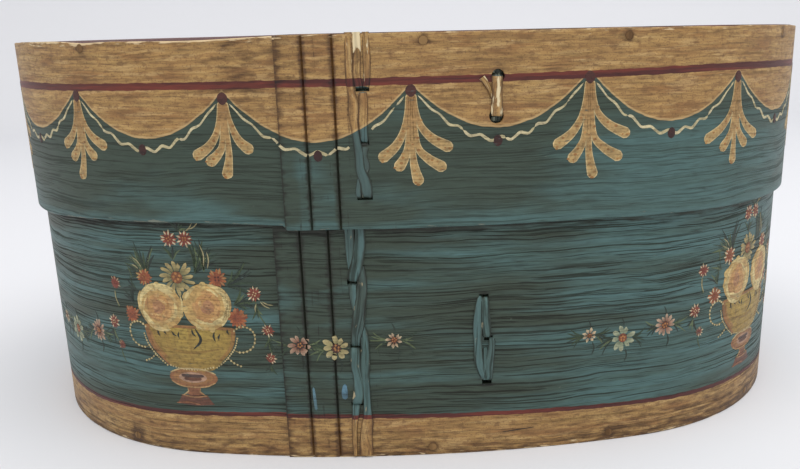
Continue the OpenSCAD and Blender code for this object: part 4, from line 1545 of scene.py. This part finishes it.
# Straps of the body's seam, from the lid's foot down: (s, z, width, lift) along each. Their ends dive
# into the slots.
BODY_STITCHES = (
    (
        (-35.2, 131, 4.0, -0.5), (-34.6, 124, 5.0, 0.1), (-34.3, 116, 5.0, 0.1), (-34.8, 108, 3.6, 0.0),
        (-35.2, 103, 1.2, -0.2),
    ),
    (
        (-29.6, 131, 5.0, 0.1), (-29.4, 118, 5.2, 0.1), (-31.0, 107.5, 6.2, 0.5),
        (-32.8, 101, 6.0, 0.5), (-33.7, 97, 5.0, -0.2), (-33.8, 95.5, 4.6, -2.4),
    ),
    (
        (-29.8, 104, 4.0, -0.3), (-29.2, 98, 4.6, 0.0), (-29.9, 90, 5.2, 0.2), (-31.0, 82, 6.2, 0.7),
        (-32.6, 72, 6.0, 0.7), (-33.8, 64.5, 5.2, 0.0), (-33.9, 61.4, 4.8, -2.4),
    ),
    (
        (-34.1, 96.0, 4.4, -2.4), (-34.1, 93, 4.2, -0.2), (-33.8, 86, 3.6, 0.0), (-32.4, 78, 3.0, 0.0),
        (-30.0, 70, 4.0, 0.1), (-29.4, 62, 4.4, 0.1), (-29.8, 53, 5.2, 0.1), (-30.0, 45, 4.4, 0.2),
        (-29.6, 36, 3.8, 0.1), (-29.6, 25, 4.6, 0.1), (-29.8, 20, 5.6, 0.0), (-30.9, 12, 6.8, 0.0),
        (-31.2, 1.2, 6.9, 0.0),
    ),
    (
        (-34.4, 62.0, 5.0, -2.4), (-34.5, 59.5, 5.2, -0.1), (-34.7, 52, 4.8, 0.2),
        (-33.6, 45, 5.0, 0.4), (-33.6, 37, 5.2, 0.5), (-34.6, 31.5, 5.8, 0.0), (-34.6, 29.6, 5.4, -2.4),
    ),
    (
        (-35.2, 30.6, 4.6, -2.4), (-35.4, 28, 4.0, -0.1), (-36.6, 18, 3.0, 0.0), (-37.0, 8, 2.4, 0.0),
        (-37.0, 1.2, 2.4, 0.0),
    ),
)
# The seam's straps under the lid, which are thinner
BODY_UNDER_LID = (
    (
        (-33.0, 206.3, 4.8, -0.1), (-34.4, 190, 4.8, 0.0), (-30.5, 172, 4.8, 0.0),
        (-30.0, 150, 4.8, 0.0), (-29.6, 131, 5.0, 0.1),
    ),
    (
        (-29.6, 206.3, 4.6, 0.2), (-29.4, 185, 4.6, 0.3), (-31.5, 165, 4.8, 0.3),
        (-32, 161.5, 4.8, -2.0),
    ),
    (
        (-32.6, 162, 4.6, -2.0), (-34.0, 152, 4.8, 0.1), (-35.0, 140, 4.6, 0.1), (-35.2, 131, 4.0, 0.0),
    ),
)
# The run of the root along the inner face, over the foot and the rim
BODY_BACK = (
    (
        (-32, 206.4, 4.8, -3.5), (-32, 120, 4.8, -3.5), (-32, 60, 4.8, -3.5), (-32, 0.4, 4.8, -3.5),
    ),
)
# The lid's seam: left, middle and right straps over the rim, those below them, and the run behind
LID_STITCHES = (
    (
        (-30.3, 215.3, 3.4, -0.6), (-30.3, 207, 3.6, 0.0), (-30.5, 198, 3.6, 0.0),
        (-30.1, 190, 3.8, 0.0), (-29.2, 183, 4.6, 0.0), (-29.3, 175, 4.2, 0.0), (-28.5, 167, 3.6, 0.1),
        (-27.6, 159, 4.2, 0.2), (-27.3, 152.7, 4.6, 0.25), (-25.2, 146.4, 5.2, 0.2),
        (-24.9, 141, 5.4, 0.0), (-25.2, 138.4, 5.2, -1.8),
    ),
    (
        (-26.6, 215.3, 3.6, -0.5), (-26.5, 207, 3.7, 0.1), (-27.0, 198, 3.5, 0.1),
        (-26.7, 193.4, 3.8, 0.0), (-26.5, 191.2, 3.8, -0.1), (-26.4, 189.5, 3.6, -1.8),
    ),
    (
        (-22.4, 215.3, 3.2, -0.5), (-22.2, 207, 3.4, 0.05), (-22.3, 198, 3.3, 0.1),
        (-22.6, 193, 3.2, 0.0), (-23.1, 191.0, 3.2, -0.2), (-23.4, 189.6, 3.2, -1.8),
    ),
    (
        (-24.9, 189.9, 4.0, -1.8), (-24.8, 188.2, 4.2, -0.2), (-24.7, 183, 4.3, 0.1),
        (-25.1, 175, 4.1, 0.15), (-24.9, 167.6, 3.9, 0.1), (-25.0, 164.8, 3.8, -1.8),
    ),
    (
        (-24.9, 165.4, 3.8, -1.8), (-25.0, 162.4, 3.6, -0.1), (-25.4, 159, 2.8, -0.1),
        (-24.3, 153.5, 3.2, -0.1), (-27.2, 149, 3.2, -0.1), (-28.6, 144, 2.6, -0.1),
        (-28.8, 140.4, 2.6, -0.2), (-28.6, 138.4, 2.6, -1.6),
    ),
    (
        (-26, 214.9, 4.8, -2.4), (-26, 190, 4.8, -2.4), (-26, 160, 4.8, -2.4), (-26, 139, 4.8, -2.4),
    ),
)
# The tacks that hold the inner ends of the laps
BODY_TACK = (
    (
        (30.9, 86.4, 3.6, -2.4), (29.6, 84.5, 3.8, -0.2), (28.6, 80, 4.4, 0.0), (28.0, 72, 4.8, 0.1),
        (27.9, 62, 4.6, 0.1), (28.3, 52, 4.4, 0.1), (30.2, 44, 3.2, 0.1), (31.4, 40.6, 2.2, -2.0),
    ),
    (
        (31.5, 86.2, 3.8, -2.4), (31.7, 84, 4.0, 0.3), (32.0, 76, 4.6, 0.5), (32.4, 68, 4.6, 0.4),
        (32.6, 65, 4.0, 0.0), (32.6, 63.4, 3.6, -2.4),
    ),
    (
        (35.0, 64.8, 2.4, -2.0), (35.2, 62.4, 3.4, 0.0), (34.6, 56, 3.8, 0.2), (33.6, 49, 4.6, 0.3),
        (33.3, 43, 4.4, 0.2), (32.8, 40.4, 3.8, -1.8),
    ),
    (
        (31.7, 59, 2.4, -0.3), (31.9, 53, 3.0, 0.1), (32.0, 46, 3.0, 0.2), (31.8, 41, 2.6, -1.0),
    ),
    (
        (32, 87, 4.6, -3.5), (32, 63, 4.6, -3.5), (32, 40, 4.6, -3.5),
    ),
)
LID_TACK = (
    (
        (38.0, 197.0, 4.8, -3.2), (37.9, 195.4, 5.0, -2.4), (37.8, 194.2, 5.2, -0.2),
        (37.6, 188, 5.2, 0.2), (37.5, 181, 5.2, 0.2), (37.5, 176.8, 5.2, 0.1), (37.4, 175.9, 5.0, -0.7),
        (37.4, 175.3, 4.6, -3.0), (37.4, 173.4, 4.6, -3.2),
    ),
    (
        (30.6, 193.8, 2.8, -0.2), (32.4, 191.2, 2.8, 0.1), (34.2, 187.6, 2.0, 0.1),
        (34.8, 184.6, 1.2, -0.2),
    ),
    (
        (38, 197.4, 4.6, -2.4), (38, 186, 4.6, -2.4), (38, 173.6, 4.6, -2.4),
    ),
)

SEAM_T, UNDER_LID_T, LID_SEAM_T = 1.1, 0.5, 0.5
BODY_SEAM = ((SEAM_T, BODY_STITCHES), (UNDER_LID_T, BODY_UNDER_LID), (SEAM_T, BODY_BACK))
sew("body_seam_root", "body_seam_sewing", BODY, BODY_SEAM, BODY_ROOT)
sew("body_tack_root", "body_tack_stitch", BODY, [(ROOT_T, BODY_TACK)], BODY_ROOT)
sew("lid_seam_root", "lid_seam_sewing", LID, [(LID_SEAM_T, LID_STITCHES)], LID_ROOT)
sew("lid_tack_root", "lid_tack_stitch", LID, [(ROOT_T, LID_TACK)], LID_ROOT)
for oval_curve in OVALS.values():
    bpy.data.objects.remove(oval_curve)


# --- Room, light and camera ---------------------------------------------------------------------


def plain_material(name, hex_colour, roughness):
    """Seamless studio paper: matt, and nothing else."""
    material = bpy.data.materials.new(name)
    material.use_nodes = True
    shader = material.node_tree.nodes["Principled BSDF"]
    shader.inputs["Base Color"].default_value = linear(hex_colour)
    shader.inputs["Roughness"].default_value = roughness
    shader.inputs["Specular IOR Level"].default_value = 0.1
    return material


def make_room():
    """A pale floor that curves up into a backdrop, one broad soft lamp and an even sky."""
    depth, radius, wide, high, near_edge = 1.6, 0.5, 4.0, 3.0, -2.5
    profile = [(near_edge, 0.0), (depth, 0.0)]
    for a in np.linspace(0.1, math.pi / 2, 12):
        profile.append((depth + radius * math.sin(a), radius * (1 - math.cos(a))))
    profile.append((depth + radius, high))
    points = [(x / MM, y / MM, z / MM) for y, z in profile for x in (-wide, wide)]
    faces = [(2 * k, 2 * k + 1, 2 * k + 3, 2 * k + 2) for k in range(len(profile) - 1)]
    floor = new_object("floor", points, faces)
    floor.data.materials.append(plain_material("matt paper", "#E4E5EA", 0.9))
    floor.data.shade_smooth()
    lamp = bpy.data.lights.new("window", "AREA")
    lamp.shape, lamp.size, lamp.size_y, lamp.energy = "RECTANGLE", 3.0, 2.0, 37.0
    light = put("window", lamp)
    light.location = (0.3, -0.6, 2.3)
    light.rotation_euler = (Vector((0, 0, 0.1)) - light.location).to_track_quat("-Z", "Y").to_euler()
    world = bpy.data.worlds.new("even sky")
    world.use_nodes = True
    sky = world.node_tree.nodes["Background"]
    sky.inputs["Color"].default_value = linear("#F5F4F1")
    sky.inputs["Strength"].default_value = 0.87
    bpy.context.scene.world = world


def make_camera():
    """The photograph's view: low in front of the box, a little left of its middle."""
    place = Vector((-7.4, -534.8, 210.35)) * MM
    yaw, pitch, roll = 0.03472, 0.26512, -0.02354
    ahead = Vector((math.sin(yaw) * math.cos(pitch), math.cos(yaw) * math.cos(pitch), -math.sin(pitch)))
    right = Vector((math.cos(yaw), -math.sin(yaw), 0))
    up = right.cross(ahead)
    right, up = right * math.cos(roll) + up * math.sin(roll), up * math.cos(roll) - right * math.sin(roll)
    # In pixels of the photograph: its width, the focal length, and how far its middle is shifted
    width, focal, shift_x, shift_y = 800, 808.4, -32.8, 26.5
    data = bpy.data.cameras.new("camera")
    data.sensor_width = 36.0
    data.lens = focal / width * data.sensor_width
    data.shift_x, data.shift_y = shift_x / width, shift_y / width
    data.clip_start = 0.01
    camera = put("camera", data)
    turn = Matrix((right, up, -ahead)).transposed()
    camera.matrix_world = Matrix.Translation(place) @ turn.to_4x4()
    bpy.context.scene.camera = camera


make_room()
make_camera()
bpy.context.scene.view_settings.view_transform = "Standard"
